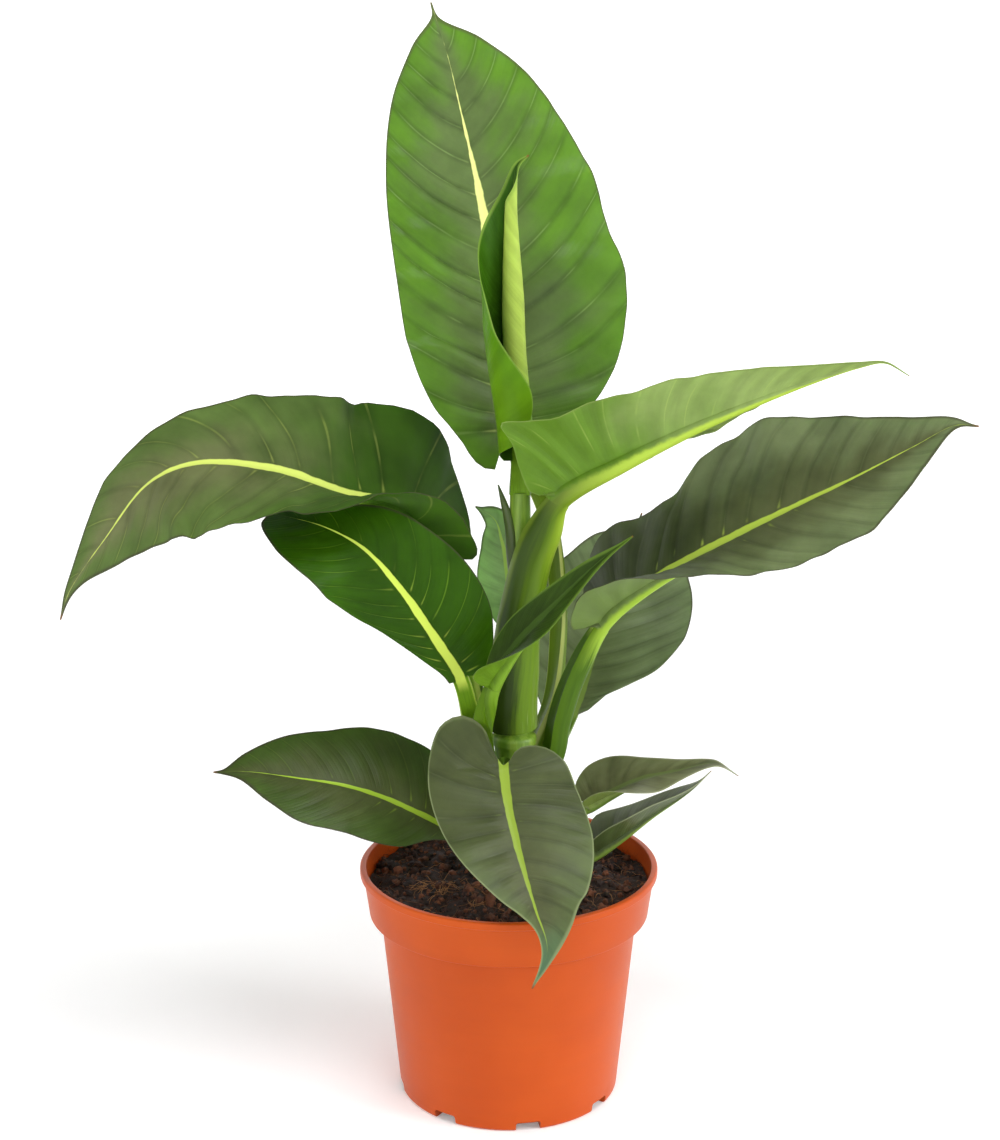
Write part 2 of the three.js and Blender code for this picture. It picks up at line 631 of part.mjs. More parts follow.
function soilSolid() {
  const p = POT;
  const inner = p.wall + GAP;
  const ledge = p.lipBottom + p.wall + GAP;
  const slope = (p.bodyTop - p.bodyFoot) / (p.lipBottom - p.footRound);
  const floor = DRAIN.height + 1;
  const rows = [
    [p.bodyFoot - DRAIN.depth - 2, floor - 3.5], [p.bodyFoot + slope * floor - inner - 0.6, floor],
    [p.bodyTop - inner, ledge], [p.lipFoot - inner, ledge + 0.4],
    [p.lipFoot - inner + ((p.lipTop - p.lipFoot) * (SOIL.edge - ledge)) / 23 - 0.1, SOIL.edge],
  ];
  const points = [[0, 0, floor - 3.5]];
  const faces = [];
  const ring = (radius, height) => {
    for (let j = 0; j < SOIL.sides; j += 1) {
      const angle = (2 * Math.PI * j) / SOIL.sides;
      const [x, y] = [radius * Math.cos(angle), radius * Math.sin(angle)];
      points.push([x, y, height ?? soilHeight(x, y)]);
    }
  };
  rows.forEach(([radius, height]) => ring(radius, height));
  const wide = rows[rows.length - 1][0];
  for (let k = 1; k < SOIL.rings; k += 1) ring((wide * (SOIL.rings - k)) / SOIL.rings);
  points.push([0, 0, soilHeight(0, 0)]);
  const rings = rows.length + SOIL.rings - 1;
  const at = (i, j) => 1 + i * SOIL.sides + (j % SOIL.sides);
  const top = points.length - 1;
  for (let j = 0; j < SOIL.sides; j += 1) {
    faces.push([0, at(0, j + 1), at(0, j)], [top, at(rings - 1, j), at(rings - 1, j + 1)]);
    for (let i = 0; i < rings - 1; i += 1) {
      faces.push([at(i, j), at(i, j + 1), at(i + 1, j + 1)], [at(i, j), at(i + 1, j + 1), at(i + 1, j)]);
    }
  }
  return fromArrays(points, faces);
}

// ---------------------------------------------------------------- assembly
const YOUNG = ['leaf_crown', 'leaf_new', 'leaf_right_upper', 'leaf_left_lower', 'leaf_small_front'];

function build() {
  const group = new THREE.Group();
  group.name = 'potted_dieffenbachia';
  const shootRoom = shootSolid(ROOM);
  group.add(toMesh('pot', potSolid(), MATERIALS.pot_plastic));
  group.add(toMesh('soil', soilSolid().subtract(shootRoom), MATERIALS.soil));
  group.add(toMesh('stem', shootSolid(0), MATERIALS.stem));
  const rooms = [shootRoom];
  for (const [name, data] of Object.entries(LEAVES)) {
    const leaf = prepared(data);
    let solid = leafSolid(leaf);
    rooms.forEach((room) => { solid = largest(solid.subtract(room)); });
    rooms.push(stalkRoom(leaf));
    const look = YOUNG.includes(name) ? MATERIALS.leaf_young : MATERIALS.leaf_old;
    group.add(toMesh(name, solid, look));
  }
  return group;
}

const group = build();
export default group;
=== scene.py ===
"""A potted dieffenbachia: the finish of its pot, soil, stem and thirteen leaves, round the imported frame.

Shapes are worked out in millimetres and written to the meshes in metres. +Z is up, and the front is
towards -Y.
"""
import math

import bmesh
import bpy
import numpy as np
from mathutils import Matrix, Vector, noise

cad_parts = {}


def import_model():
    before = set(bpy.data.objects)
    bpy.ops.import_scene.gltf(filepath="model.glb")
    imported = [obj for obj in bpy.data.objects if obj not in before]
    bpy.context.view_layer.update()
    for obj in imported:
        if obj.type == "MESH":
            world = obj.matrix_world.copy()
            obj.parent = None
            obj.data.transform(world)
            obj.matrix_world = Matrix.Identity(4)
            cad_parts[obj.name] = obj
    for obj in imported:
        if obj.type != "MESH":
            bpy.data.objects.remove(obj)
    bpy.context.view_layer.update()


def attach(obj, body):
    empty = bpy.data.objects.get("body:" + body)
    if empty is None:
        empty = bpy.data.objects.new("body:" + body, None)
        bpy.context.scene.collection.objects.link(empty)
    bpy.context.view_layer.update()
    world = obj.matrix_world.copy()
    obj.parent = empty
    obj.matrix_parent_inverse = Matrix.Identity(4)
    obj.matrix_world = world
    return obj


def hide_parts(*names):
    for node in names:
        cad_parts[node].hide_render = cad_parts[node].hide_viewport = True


MM = 0.001

# ---------------- driving dimensions, in millimetres
BLADE = 0.7             # thickness of a leaf blade
BLADE_MARGIN = 0.35     # and at its margin
RIB_DEPTH = 1.3         # depth of a leafstalk below its upper face, in half widths
RIB_TAPER = 0.85        # the share of its width that the midrib has lost at the tip
CHANNEL = 24            # degrees that a leafstalk's upper face is folded up on each side
STEADY = 0.07           # the part of the midrib at its start over which the blade keeps one direction
SPAN = 50               # the width of half a blade over which its curl is given
SPREAD = 1.8            # how closely the veins crowd towards the leaf base
RIPPLES = (37, 23, 14)  # lengths of the small waves of a margin
VEIN_GAP = 11           # distance between side veins along the midrib, about
VEINS = (8, 16)         # fewest and most side veins of half a blade
RINGS_PER_VEIN = 7
DRIP_TIP = 1.8          # half width of the drip tip where it leaves the blade
DRIP_END = 0.4          # and at its end
STALK_STEP = 2.5        # distance between the rings of a stalk
RIB_COLUMNS = 6         # faces across half the midrib
BLADE_COLUMNS = 20      # and across the rest of half a blade

POT = dict(
    height=136, wall=1.5, base=2, foot=61, body_foot=63.3, body_top=73.5,
    lip_bottom=108, lip_foot=79.8, lip_top=83, lip_taper=0.135, bead=85, bead_height=4,
)
FILLET_POINTS = 7       # points round each rounded corner
DRAIN = dict(count=8, first=-35, width=14, height=5.5, depth=9, corner=1.6)
SOIL = dict(edge=125, mound=2, radius=79.4)  # height at the rim, how much higher the middle is, reach
BED_LUMPS = ((14, 2.4), (5, 1.5), (2, 0.8))  # size and height of the lumps in the soil's surface
CRUMBS = 1500
LARGE_CRUMBS = [  # x, y, size, tone
    (-10.6, -36.5, 4.2, 0.75), (31, -44, 2.8, 0.5), (-52, 20, 3.1, 0.4), (24, 50, 3.4, 0.55),
]
FIBRES = 700
FIBRE_SIDES, FIBRE_RINGS = 5, 7
TUFT_EVERY = 14         # one fibre in so many lies in the pale tuft
PALE_TUFT = np.array([-40, -14])
SHOOT_ROOM = 11         # no crumb or fibre starts nearer to the pot's axis
SHOOT = [  # x, y, z, radius
    (0, 0, 86, 9), (0, 0, 124, 10), (2, 0, 165, 10.5), (3, 0, 205, 11), (3, 0, 213, 12.5),
    (3, 0, 217, 8.5), (3, 0, 235, 8), (5, -1, 280, 7), (6, -1, 325, 6), (6, 0, 354, 5.6),
]
SHEATH_TIP = [  # x, y, z, radius of the old sheath's pointed end
    (5, -1, 296, 4), (3, -2, 318, 4.5), (1, -3, 334, 3.4), (-3, -2, 349, 1.8), (-6, 0, 358, 0.4),
]
SCARS = (131, 146, 158, 176, 192, 209)  # heights of the old leaf scars

# ---------------- camera, stage and lights, in metres
CAMERA_PLACE = (-0.005, -1.2, 0.64)
CAMERA_TILT = 15.39     # degrees below level
CAMERA_LENS = 71.21
STAGE_FLAT = 2600       # millimetres from the plant to where the stage turns up
STAGE_BEND = 1100
STAGE_GLOW = (0.16, 0.5)
WORLD_STRENGTH = 0.2
LIGHT_AIM = (0, 0, 0.3)
LIGHTS = [  # name, width, watts, place
    ("key", 1.1, 25, (0.3, -1.0, 2.5)),
    ("left", 1.2, 6, (-1.9, -0.9, 1.6)),
    ("right", 0.9, 22, (1.9, -0.8, 1.2)),
    ("behind", 1.6, 5, (0.4, 2.2, 2.0)),
]

# ---------------- the leaves' forms
# `spine` runs from the foot of the stalk to the tip of the blade, and point number `at` is where the blade
# begins. `stalk` has the stalk's half widths, foot to blade. `stalk_face` turns the stalk's upper face and
# `face` that of the blade (base, middle, tip). `left` and `right` are the margins, as (along the midrib,
# out from it). `fold` and `curl` have one row for the left half and one for the right, in degrees: the fold
# up from the midrib, and the downward curl over SPAN (base, middle, tip). `wave` is the height of the
# margin's waves and their number on the left and on the right.
LEAVES = {
    "leaf_crown": dict(
        spine=[(14, 12, 199), (25, 18, 228), (28, 19, 262), (27, 20, 298), (21, 22, 335), (8, 24, 364),
               (-1, 26, 377), (-4, 38, 437), (-14, 52, 499), (-28, 66, 560), (-34, 72, 584),
               (-43, 76, 612)],
        at=6, stalk=[5, 4.5, 4.5, 4], stalk_face=[(-1, -0.3, 0), (-0.6, -0.9, 0.1)],
        face=[(0.05, -0.95, 0.25), (0, -1, 0.15), (0.1, -1, 0.2)],
        left=[(-16, 8), (-12, 18), (8, 31), (24, 43), (52, 53), (112, 54), (153, 50), (193, 38),
             (225, 18)],
        right=[(-12, 12), (-6, 30), (20, 50), (48, 66), (81, 72), (114, 67), (148, 60), (194, 42),
              (219, 21)],
        fold=[[20, 18, 10], [14, 8, 0]], curl=[[10, 14, 10], [20, 18, 10]], wave=[1.6, 3, 4],
    ),
    "leaf_new": dict(
        spine=[(6, 0, 353), (6, 0, 372), (5, -2, 400), (3, -4, 436), (2, -6, 480), (2, -5, 515),
               (4, -4, 531), (10, -3, 536)],
        at=1, stalk=[5.6, 5], stalk_face=[(0, -1, 0), (0, -1, 0)],
        face=[(0.1, -1, 0), (0, -1, 0), (-0.3, -1, 0.1)],
        left=[(-1, 7), (6, 17), (20, 40), (45, 52), (80, 40), (118, 23), (145, 7)],
        right=[(-1, 8), (3, 18), (18, 27), (60, 31), (100, 29), (128, 20), (148, 7)],
        fold=[[4, 4, 10], [4, 4, 10]], curl=[[-215, -165, -110], [-400, -500, -1100]], wave=[0, 1, 1],
    ),
    "leaf_right_upper": dict(
        spine=[(3, 0, 218), (3, -2, 237), (6, -6, 283), (11, -12, 319), (18, -18, 341), (27, -24, 358),
               (59, -32, 378), (100, -40, 400), (151, -46, 422), (181, -48, 432), (194, -48, 434),
               (207, -48, 427)],
        at=5, stalk=[13.5, 13.5, 11.5, 10.5, 10, 6],
        stalk_face=[(-0.4, 0.9, 0), (-0.5, 0.8, 0.1), (-0.6, 0.6, 0.4)],
        face=[(-0.5, 0.45, 0.8), (-0.25, 0.4, 0.9), (-0.1, 0.2, 1)],
        left=[(-12, 11), (-10, 28), (10, 44), (45, 50), (90, 44), (130, 32), (165, 18), (188, 8)],
        right=[(-11, 10), (-7, 30), (0, 48), (4, 65), (13, 57), (22, 52), (40, 49), (76, 42), (94, 36),
              (124, 25), (159, 12)],
        fold=[[22, 14, 8], [48, 40, 20]], curl=[[20, 20, 20], [20, 20, 10]], wave=[2, 4, 5],
    ),
    "leaf_right_big": dict(
        spine=[(12, 5, 172), (25, 4, 200), (28, 3, 222), (35, 2, 248), (51, 0, 280), (72, -4, 300),
               (126, -12, 334), (183, -22, 366), (215, -30, 386), (235, -34, 398), (247, -36, 398)],
        at=4, stalk=[8, 7, 7, 6.5, 5], stalk_face=[(-1, -0.3, 0.2), (-0.8, -0.3, 0.6)],
        face=[(-0.3, -0.25, 0.9), (-0.15, -0.5, 0.85), (-0.1, -0.6, 0.8)],
        left=[(-9, 12), (-6, 32), (4, 52), (24, 60), (50, 49), (68, 48), (88, 60), (118, 63), (150, 51),
             (181, 31), (218, 8)],
        right=[(-12, 12), (-6, 25), (12, 38), (40, 41), (69, 40), (99, 40), (120, 45), (158, 42),
              (184, 30), (206, 12)],
        fold=[[10, 16, 8], [70, 14, 8]], curl=[[0, 10, 10], [30, 20, 20]], wave=[1.6, 4, 4],
    ),
    "leaf_left_big": dict(
        spine=[(-7, 5, 170), (-13, 7, 200), (-18, 7, 235), (-27, 5, 285), (-42, -2, 327), (-61, -12, 349),
               (-88, -20, 358), (-125, -28, 373), (-167, -32, 377), (-191, -34, 367), (-216, -34, 336),
               (-237, -32, 306), (-243, -30, 290)],
        at=4, stalk=[5, 5, 5, 4.5], stalk_face=[(1, 0, 0.1), (0.9, -0.2, 0.4)],
        face=[(0.1, -0.4, 0.9), (-0.1, -0.6, 0.75), (-0.6, -0.6, 0.5)],
        left=[(-20, 10), (-18, 20), (0, 30), (24, 34), (60, 38), (104, 42), (147, 51), (180, 41),
             (208, 24), (236, 7)],
        right=[(-28, 10), (-26, 28), (-8, 54), (18, 69), (50, 66), (83, 54), (120, 43), (160, 27),
              (206, 19), (240, 6)],
        fold=[[70, 15, 0], [16, 12, 10]], curl=[[10, 20, 10], [0, 10, 10]], wave=[1.8, 3, 4],
    ),
    "leaf_left_lower": dict(
        spine=[(-11, -4, 168), (-17, -10, 198), (-21, -16, 228), (-27, -24, 255), (-38, -30, 276),
               (-59, -36, 310), (-78, -34, 331), (-98, -29, 341), (-116, -20, 344), (-131, -12, 345)],
        at=3, stalk=[5, 5, 4.5], stalk_face=[(1, -0.2, 0), (0.2, -0.8, 0.4)],
        face=[(-0.2, -0.8, 0.6), (-0.2, -0.75, 0.6), (-0.1, -0.5, 0.85)],
        left=[(-2, 6), (8, 8), (24, 13), (50, 22), (75, 31), (100, 34), (130, 27), (152, 10)],
        right=[(-5, 11), (4, 21), (26, 34), (53, 37), (85, 30), (112, 18), (142, 6)],
        fold=[[12, 8, 8], [12, 8, -4]], curl=[[10, 10, 0], [10, 10, 0]], wave=[0.8, 3, 2],
    ),
    "leaf_small_front": dict(
        spine=[(-7, -13, 178), (-13, -19, 204), (-15, -24, 225), (-13, -28, 241), (-10, -33, 254),
               (-2, -37, 269), (8, -41, 284), (27, -45, 306), (48, -48, 328), (65, -50, 342)],
        at=4, stalk=[5, 5.5, 4.4], stalk_face=[(1, 0, 0), (0.2, -0.6, 0.5)],
        face=[(-0.4, -0.5, 0.7), (-0.4, -0.5, 0.7), (-0.4, -0.5, 0.7)],
        left=[(2, 7), (14, 12), (32, 15), (48, 14), (66, 11), (86, 7)],
        right=[(0, 9), (6, 19), (20, 22), (40, 16), (60, 11), (84, 6)],
        fold=[[20, 10, 10], [85, 5, 5]], curl=[[10, 0, 0], [10, 0, 0]], wave=[0.4, 2, 2],
    ),
    "leaf_front": dict(
        spine=[(2, -8, 146), (0, -19, 176), (-2, -32, 203), (-3, -40, 210), (-1, -52, 194), (4, -69, 176),
               (9, -84, 162), (14, -96, 149), (20, -104, 130), (12, -107, 109)],
        at=3, stalk=[5.5, 5, 4.2], stalk_face=[(0, 1, 0.1), (0, 0.5, 0.9)],
        face=[(-0.1, -0.8, 0.6), (0, -0.8, 0.6), (0, -0.95, 0.3)],
        left=[(-8, 8), (-8, 22), (1, 33), (24, 39), (41, 41), (62, 39), (81, 31), (96, 18), (109, 5)],
        right=[(-22, 9), (-30, 20), (-26, 32), (-10, 40), (8, 42), (27, 39), (51, 31), (75, 17), (92, 5),
              (108, 3)],
        fold=[[5, 8, 10], [5, 8, 10]], curl=[[20, 20, 0], [10, 10, 0]], wave=[0.8, 3, 3],
    ),
    "leaf_left_foot": dict(
        spine=[(-6, 3, 132), (-18, 0, 146), (-34, -8, 160), (-53, -12, 172), (-73, -16, 183),
               (-93, -18, 190), (-117, -18, 194), (-147, -18, 198), (-165, -16, 197)],
        at=2, stalk=[4.5, 4, 4], stalk_face=[(0.5, 0, 0.8), (0.2, -0.5, 0.8)],
        face=[(0.1, -0.65, 0.75), (0, -0.6, 0.8), (-0.1, -0.5, 0.8)],
        left=[(-3, 6), (8, 12), (27, 26), (45, 30), (66, 30), (88, 28), (108, 18), (124, 6)],
        right=[(-6, 10), (2, 24), (22, 38), (42, 41), (60, 39), (84, 32), (105, 25), (124, 12)],
        fold=[[10, 8, 5], [10, 8, 5]], curl=[[10, 20, 10], [10, 10, 10]], wave=[0.6, 3, 3],
    ),
    "leaf_right_foot": dict(
        spine=[(9, 8, 150), (27, 8, 161), (45, 8, 168), (59, 10, 175), (75, 12, 182), (98, 14, 187),
               (113, 16, 190), (120, 16, 190), (132, 18, 182)],
        at=2, stalk=[4.5, 4, 3.6], stalk_face=[(-0.6, 0, 0.8), (-0.3, -0.2, 0.9)],
        face=[(-0.2, -0.2, 0.9), (-0.1, -0.25, 0.95), (-0.1, -0.1, 1)],
        left=[(-4, 8), (0, 18), (10, 25), (22, 25), (40, 15), (60, 8), (76, 4)],
        right=[(-4, 7), (0, 15), (16, 22), (40, 17), (60, 8), (76, 4)],
        fold=[[22, 18, 5], [55, 2, 0]], curl=[[10, 20, 10], [10, 10, 10]], wave=[0.5, 2, 2],
    ),
    "leaf_right_low": dict(
        spine=[(10, 3, 140), (28, 4, 134), (47, 5, 139), (64, 7, 149), (81, 9, 161), (104, 11, 176),
               (116, 13, 187)],
        at=2, stalk=[4, 4, 3.6], stalk_face=[(-0.4, 0, 0.9), (-0.3, 0, 0.9)],
        face=[(-0.3, 0, 0.9), (-0.4, 0.1, 0.95), (-0.4, 0.1, 0.9)],
        left=[(-2, 9), (4, 22), (14, 31), (28, 27), (43, 19), (64, 12)],
        right=[(-4, 6), (0, 14), (20, 21), (42, 16), (64, 8)],
        fold=[[20, 20, 5], [50, 35, 20]], curl=[[10, 20, 10], [0, 0, 0]], wave=[0.4, 2, 2],
    ),
    "leaf_right_back": dict(
        spine=[(9, 14, 160), (24, 28, 190), (37, 44, 212), (47, 62, 235), (57, 84, 259), (69, 112, 279),
               (78, 136, 298), (82, 142, 307)],
        at=2, stalk=[5, 4.5, 4], stalk_face=[(-0.5, -0.6, 0.3), (-0.2, -0.8, 0.4)],
        face=[(-0.1, -0.9, 0.5), (-0.1, -0.8, 0.6), (0, -0.7, 0.7)],
        left=[(-8, 11), (6, 25), (40, 38), (80, 40), (120, 24)],
        right=[(0, 6), (9, 12), (22, 21), (38, 41), (55, 49), (76, 50), (100, 43), (125, 24)],
        fold=[[10, 8, 8], [10, 8, 8]], curl=[[0, 10, 10], [0, 10, 10]], wave=[0.8, 3, 4],
    ),
    "leaf_left_back": dict(
        spine=[(0, 10, 200), (5, 20, 235), (2, 29, 275), (0, 34, 297), (-4, 38, 317), (-8, 42, 328),
               (-19, 44, 335)],
        at=2, stalk=[4.5, 4, 3.4], stalk_face=[(-0.3, -0.9, 0.1), (-0.1, -0.9, 0.2)],
        face=[(-0.1, -0.95, 0.2), (-0.2, -0.95, 0.1), (-0.3, -0.9, 0.1)],
        left=[(-5, 8), (6, 14), (24, 18), (44, 12), (60, 5)],
        right=[(-5, 8), (6, 14), (24, 18), (44, 13), (60, 6)],
        fold=[[10, 8, 8], [10, 8, 8]], curl=[[10, 10, 10], [10, 10, 10]], wave=[0.4, 2, 2],
    ),
}


def leaf_look(rib, stalk, **own):
    """A leaf's look: its own values, and for the rest those that most leaves share."""
    shared = dict(
        keel=stalk, stalk_edge=rib, edge=(58, 50, 42), lines=0.5, spurs=0.35, rib_start=(-2, -1),
        rib_end=1.05, rib_width=0.9, keel_end=(-0.26, -0.02), ripple=0.5, tip=0.2, gloss=0.2,
        dull=(0.3, 0.5), slot="leaf_old",
    )
    return {**shared, **own, "rib": rib, "stalk": stalk}


# ---------------- the leaves' looks
# Colours are sRGB. On the upper face `middle` is near the midrib, `outer` towards the margin, `near` next
# to the stalk and `cool_tip` towards the tip, with `rib` on the midrib, `vein` on the side veins and `edge`
# on the margin. `under` is the underside, `under_near` its part next to the stalk, `under_right` its right
# half where that is rolled, and `keel` its midrib. `stalk` is the stalk and `stalk_edge` its edges;
# `stalk_dark` is painted shade on its side away from the light, and `stalk_foot` deeper
# painted shade on that side near the foot.
# In millimetres, `relief` is how high the blade bulges between its veins (left, right) and `ripple` the
# height of the margin's small waves. `lines` is how plainly the side veins show, `spurs` how plainly their
# starts at the midrib, and `tip` how far the tip has browned. `rib_start`, `rib_end` and `rib_width` say
# where along the blade the midrib's stripe begins and ends and how wide it is. `keel_end` is where the
# keel's colour runs out on the stalk. `gloss` is the strength of the sheen, `dull` the roughness's range.
LOOKS = {
    "leaf_crown": leaf_look(
        middle=(82, 102, 52), outer=(78, 118, 24), rib=(226, 232, 140), vein=(138, 168, 92), lines=0.4,
        under=(120, 156, 54), stalk=(96, 124, 28), edge=(70, 66, 44), relief=(1.9, 0.9), ripple=0.9,
        tip=0.1, rib_start=(0.05, 0.25), rib_end=0.93, rib_width=1.6, slot="leaf_young",
    ),
    "leaf_new": leaf_look(
        middle=(34, 64, 6), outer=(46, 84, 8), rib=(90, 124, 20), vein=(70, 104, 20), lines=0.1,
        under=(76, 122, 6), under_right=(154, 178, 74), under_near=(92, 134, 18), stalk=(104, 142, 30),
        edge=(120, 150, 60), relief=(0.1, 0.1), ripple=0.2, gloss=0.1, slot="leaf_young",
    ),
    "leaf_right_upper": leaf_look(
        middle=(81, 107, 41), outer=(77, 112, 32), rib=(178, 198, 96), vein=(176, 196, 100), lines=0.3,
        under=(134, 156, 86), under_near=(90, 126, 32), keel=(168, 196, 66), stalk=(92, 124, 10),
        # painted shade on the sheath's side away from the light, deeper near its foot
        stalk_dark=(50, 72, 8), stalk_foot=(40, 58, 6), keel_end=(-0.45, -0.05),
        stalk_edge=(130, 156, 50), edge=(120, 140, 70), relief=(1.4, 1.4), ripple=0.7, slot="leaf_young",
    ),
    "leaf_right_big": leaf_look(
        middle=(84, 90, 56), outer=(100, 112, 74), near=(64, 74, 40), rib=(180, 204, 76),
        vein=(132, 144, 96), lines=0.15, spurs=0.9, under=(104, 126, 64), keel=(150, 184, 54),
        stalk=(66, 98, 8), relief=(0.9, 1.1), stalk_edge=(88, 124, 18), ripple=0.9, dull=(0.45, 0.65),
    ),
    "leaf_left_big": leaf_look(
        middle=(98, 104, 66), outer=(80, 100, 48), near=(50, 80, 16), rib=(200, 216, 104),
        vein=(150, 166, 80), lines=0.35, under=(56, 92, 12), stalk=(96, 132, 30), relief=(0.9, 1.0),
        ripple=1.4, tip=0.4, gloss=0.1, dull=(0.55, 0.75),
    ),
    "leaf_left_lower": leaf_look(
        middle=(38, 70, 3), outer=(42, 76, 4), rib=(190, 210, 84), vein=(96, 134, 30),
        under=(98, 138, 40), stalk=(92, 130, 20), relief=(0.6, 0.6), tip=0.1, gloss=0.08, rib_width=0.65,
        slot="leaf_young",
    ),
    "leaf_small_front": leaf_look(
        middle=(38, 56, 14), outer=(44, 64, 16), rib=(58, 82, 28), vein=(60, 82, 28), lines=0.1,
        spurs=0.1, under=(92, 126, 28), keel=(112, 148, 40), stalk=(84, 118, 14), edge=(96, 124, 44),
        relief=(0.3, 0.3), ripple=0.3, gloss=0.1, slot="leaf_young",
    ),
    "leaf_front": leaf_look(
        middle=(80, 86, 54), outer=(82, 94, 56), near=(66, 74, 42), rib=(136, 160, 54),
        vein=(110, 122, 80), lines=0.2, spurs=0.2, under=(120, 138, 80), stalk=(86, 119, 26),
        edge=(130, 140, 98), relief=(0.6, 1.7), tip=0.9, cool_tip=(72, 102, 72), rib_width=0.65,
    ),
    "leaf_left_foot": leaf_look(
        middle=(66, 74, 38), outer=(58, 76, 28), rib=(150, 182, 50), vein=(96, 116, 46), lines=0.3,
        under=(92, 108, 62), stalk=(86, 120, 30), relief=(0.5, 0.5), tip=0.5, rib_width=0.5,
    ),
    "leaf_right_foot": leaf_look(
        middle=(90, 94, 60), outer=(112, 116, 80), rib=(96, 110, 60), vein=(92, 100, 64), lines=0.2,
        spurs=0.1, under=(136, 156, 78), stalk=(116, 146, 60), edge=(140, 142, 110), relief=(0.6, 0.6),
        tip=0.8,
    ),
    "leaf_right_low": leaf_look(
        middle=(72, 82, 44), outer=(82, 92, 52), rib=(90, 106, 54), vein=(84, 96, 52), lines=0.2,
        spurs=0.1, under=(72, 86, 46), stalk=(116, 142, 58), edge=(140, 146, 110), relief=(0.5, 0.5),
        ripple=0.4, tip=0.8,
    ),
    "leaf_right_back": leaf_look(
        middle=(88, 100, 64), outer=(98, 112, 76), rib=(120, 144, 66), vein=(104, 118, 80), lines=0.3,
        spurs=0.1, under=(100, 118, 68), stalk=(92, 124, 40), relief=(0.9, 0.9), ripple=0.6,
    ),
    # Its upper face's colours are much lighter than its own green: partly the leaf's colour, partly painted
    # sheen.
    "leaf_left_back": leaf_look(
        middle=(134, 168, 106), outer=(138, 178, 106), rib=(170, 204, 96), vein=(150, 174, 130),
        under=(112, 142, 76), stalk=(96, 132, 40), relief=(0.6, 0.6), ripple=0.3,
    ),
}


# ---------------- lines and easing
def unit(vectors):
    return vectors / np.linalg.norm(vectors, axis=-1, keepdims=True)


class Line:
    """A smooth line through points (a centripetal Catmull-Rom curve), measured along its length."""

    PER_SPAN = 24

    def __init__(self, points):
        nodes = [np.array(point, float) for point in points]
        nodes = [2 * nodes[0] - nodes[1], *nodes, 2 * nodes[-1] - nodes[-2]]
        pieces = [self.piece(nodes[i : i + 4]) for i in range(len(points) - 1)]
        self.points = np.concatenate([*pieces, nodes[-2][None]])
        steps = np.linalg.norm(np.diff(self.points, axis=0), axis=1)
        self.run = np.concatenate([[0], np.cumsum(steps)])
        self.length = self.run[-1]

    def piece(self, nodes):
        before, start, end, after = nodes
        gaps = [np.linalg.norm(b - a) ** 0.5 for a, b in zip(nodes, nodes[1:])]
        leave = (start - before) / gaps[0] - (end - before) / (gaps[0] + gaps[1]) + (end - start) / gaps[1]
        arrive = (end - start) / gaps[1] - (after - start) / (gaps[1] + gaps[2]) + (after - end) / gaps[2]
        leave, arrive = leave * gaps[1], arrive * gaps[1]
        t = (np.arange(self.PER_SPAN) / self.PER_SPAN)[:, None]
        square = 3 * (end - start) - 2 * leave - arrive
        cube = 2 * (start - end) + leave + arrive
        return start + leave * t + square * t**2 + cube * t**3

    def at(self, distance):
        distance = np.asarray(distance, float)
        return np.stack([np.interp(distance, self.run, column) for column in self.points.T], -1)

    def direction(self, distance):
        ahead = self.at(np.minimum(distance + 2, self.length))
        return unit(ahead - self.at(np.maximum(distance - 2, 0)))


def eased(values, t):
    """Evenly spaced values, eased from one to the next; t runs from 0 to 1."""
    values = np.asarray(values, float)
    place = np.clip(t, 0, 1) * (len(values) - 1)
    before = np.minimum(place.astype(int), len(values) - 2)
    part = place - before
    part = part * part * (3 - 2 * part)
    if values.ndim > 1:
        part = part[..., None]
    return values[before] * (1 - part) + values[before + 1] * part


def smoothstep(low, high, x):
    t = np.clip((x - low) / (high - low), 0, 1)
    return t * t * (3 - 2 * t)


# ---------------- meshes
def added(name, data):
    thing = bpy.data.objects.new(name, data)
    bpy.context.scene.collection.objects.link(thing)
    return thing


def new_object(name, points, faces, material, values=None):
    """A mesh object from points in millimetres, with a number for each point under each name in values."""
    mesh = bpy.data.meshes.new(name)
    faces = faces.tolist() if isinstance(faces, np.ndarray) else faces
    mesh.from_pydata(np.asarray(points) * MM, [], faces)
    mesh.update()
    for key, numbers in (values or {}).items():
        attribute = mesh.attributes.new(key, "FLOAT", "POINT")
        attribute.data.foreach_set("value", np.asarray(numbers, np.float32).ravel())
    mesh.shade_smooth()
    mesh.set_sharp_from_angle(angle=math.radians(50))
    mesh.materials.append(material)
    return added(name, mesh)


def merged(name, shells, material):
    """One object from many closed shells, each given as its points, its faces and its tone."""
    points, faces, tones, count = [], [], [], 0
    for shell, shell_faces, tone in shells:
        points.append(shell)
        faces += [[corner + count for corner in face] for face in shell_faces]
        tones.append(np.full(len(shell), tone))
        count += len(shell)
    return new_object(name, np.concatenate(points), faces, material, dict(tone=np.concatenate(tones)))


def grid_faces(rows, columns, first=0, closed=False):
    """Quads over a grid of points, with the faces' fronts on the left of the rows' direction."""
    index = first + np.arange(rows * columns).reshape(rows, columns)
    if closed:
        index = np.concatenate([index, index[:, :1]], 1)
    return np.stack([index[:-1, :-1], index[:-1, 1:], index[1:, 1:], index[1:, :-1]], -1).reshape(-1, 4)


def two_faced(upper, lower):
    """Points and quads of a closed sheet from two grids of points, one for each face."""
    rows, columns = upper.shape[:2]
    count = rows * columns
    index = np.arange(count).reshape(rows, columns)
    edge = np.concatenate([index[0], index[1:, -1], index[-1, -2::-1], index[-2:0:-1, 0]])
    after = np.roll(edge, -1)
    rim = np.stack([after, edge, edge + count, after + count], -1)
    top = grid_faces(rows, columns)
    bottom = grid_faces(rows, columns, count)[:, ::-1]
    points = np.concatenate([upper.reshape(-1, 3), lower.reshape(-1, 3)])
    return points, np.concatenate([top, bottom, rim])


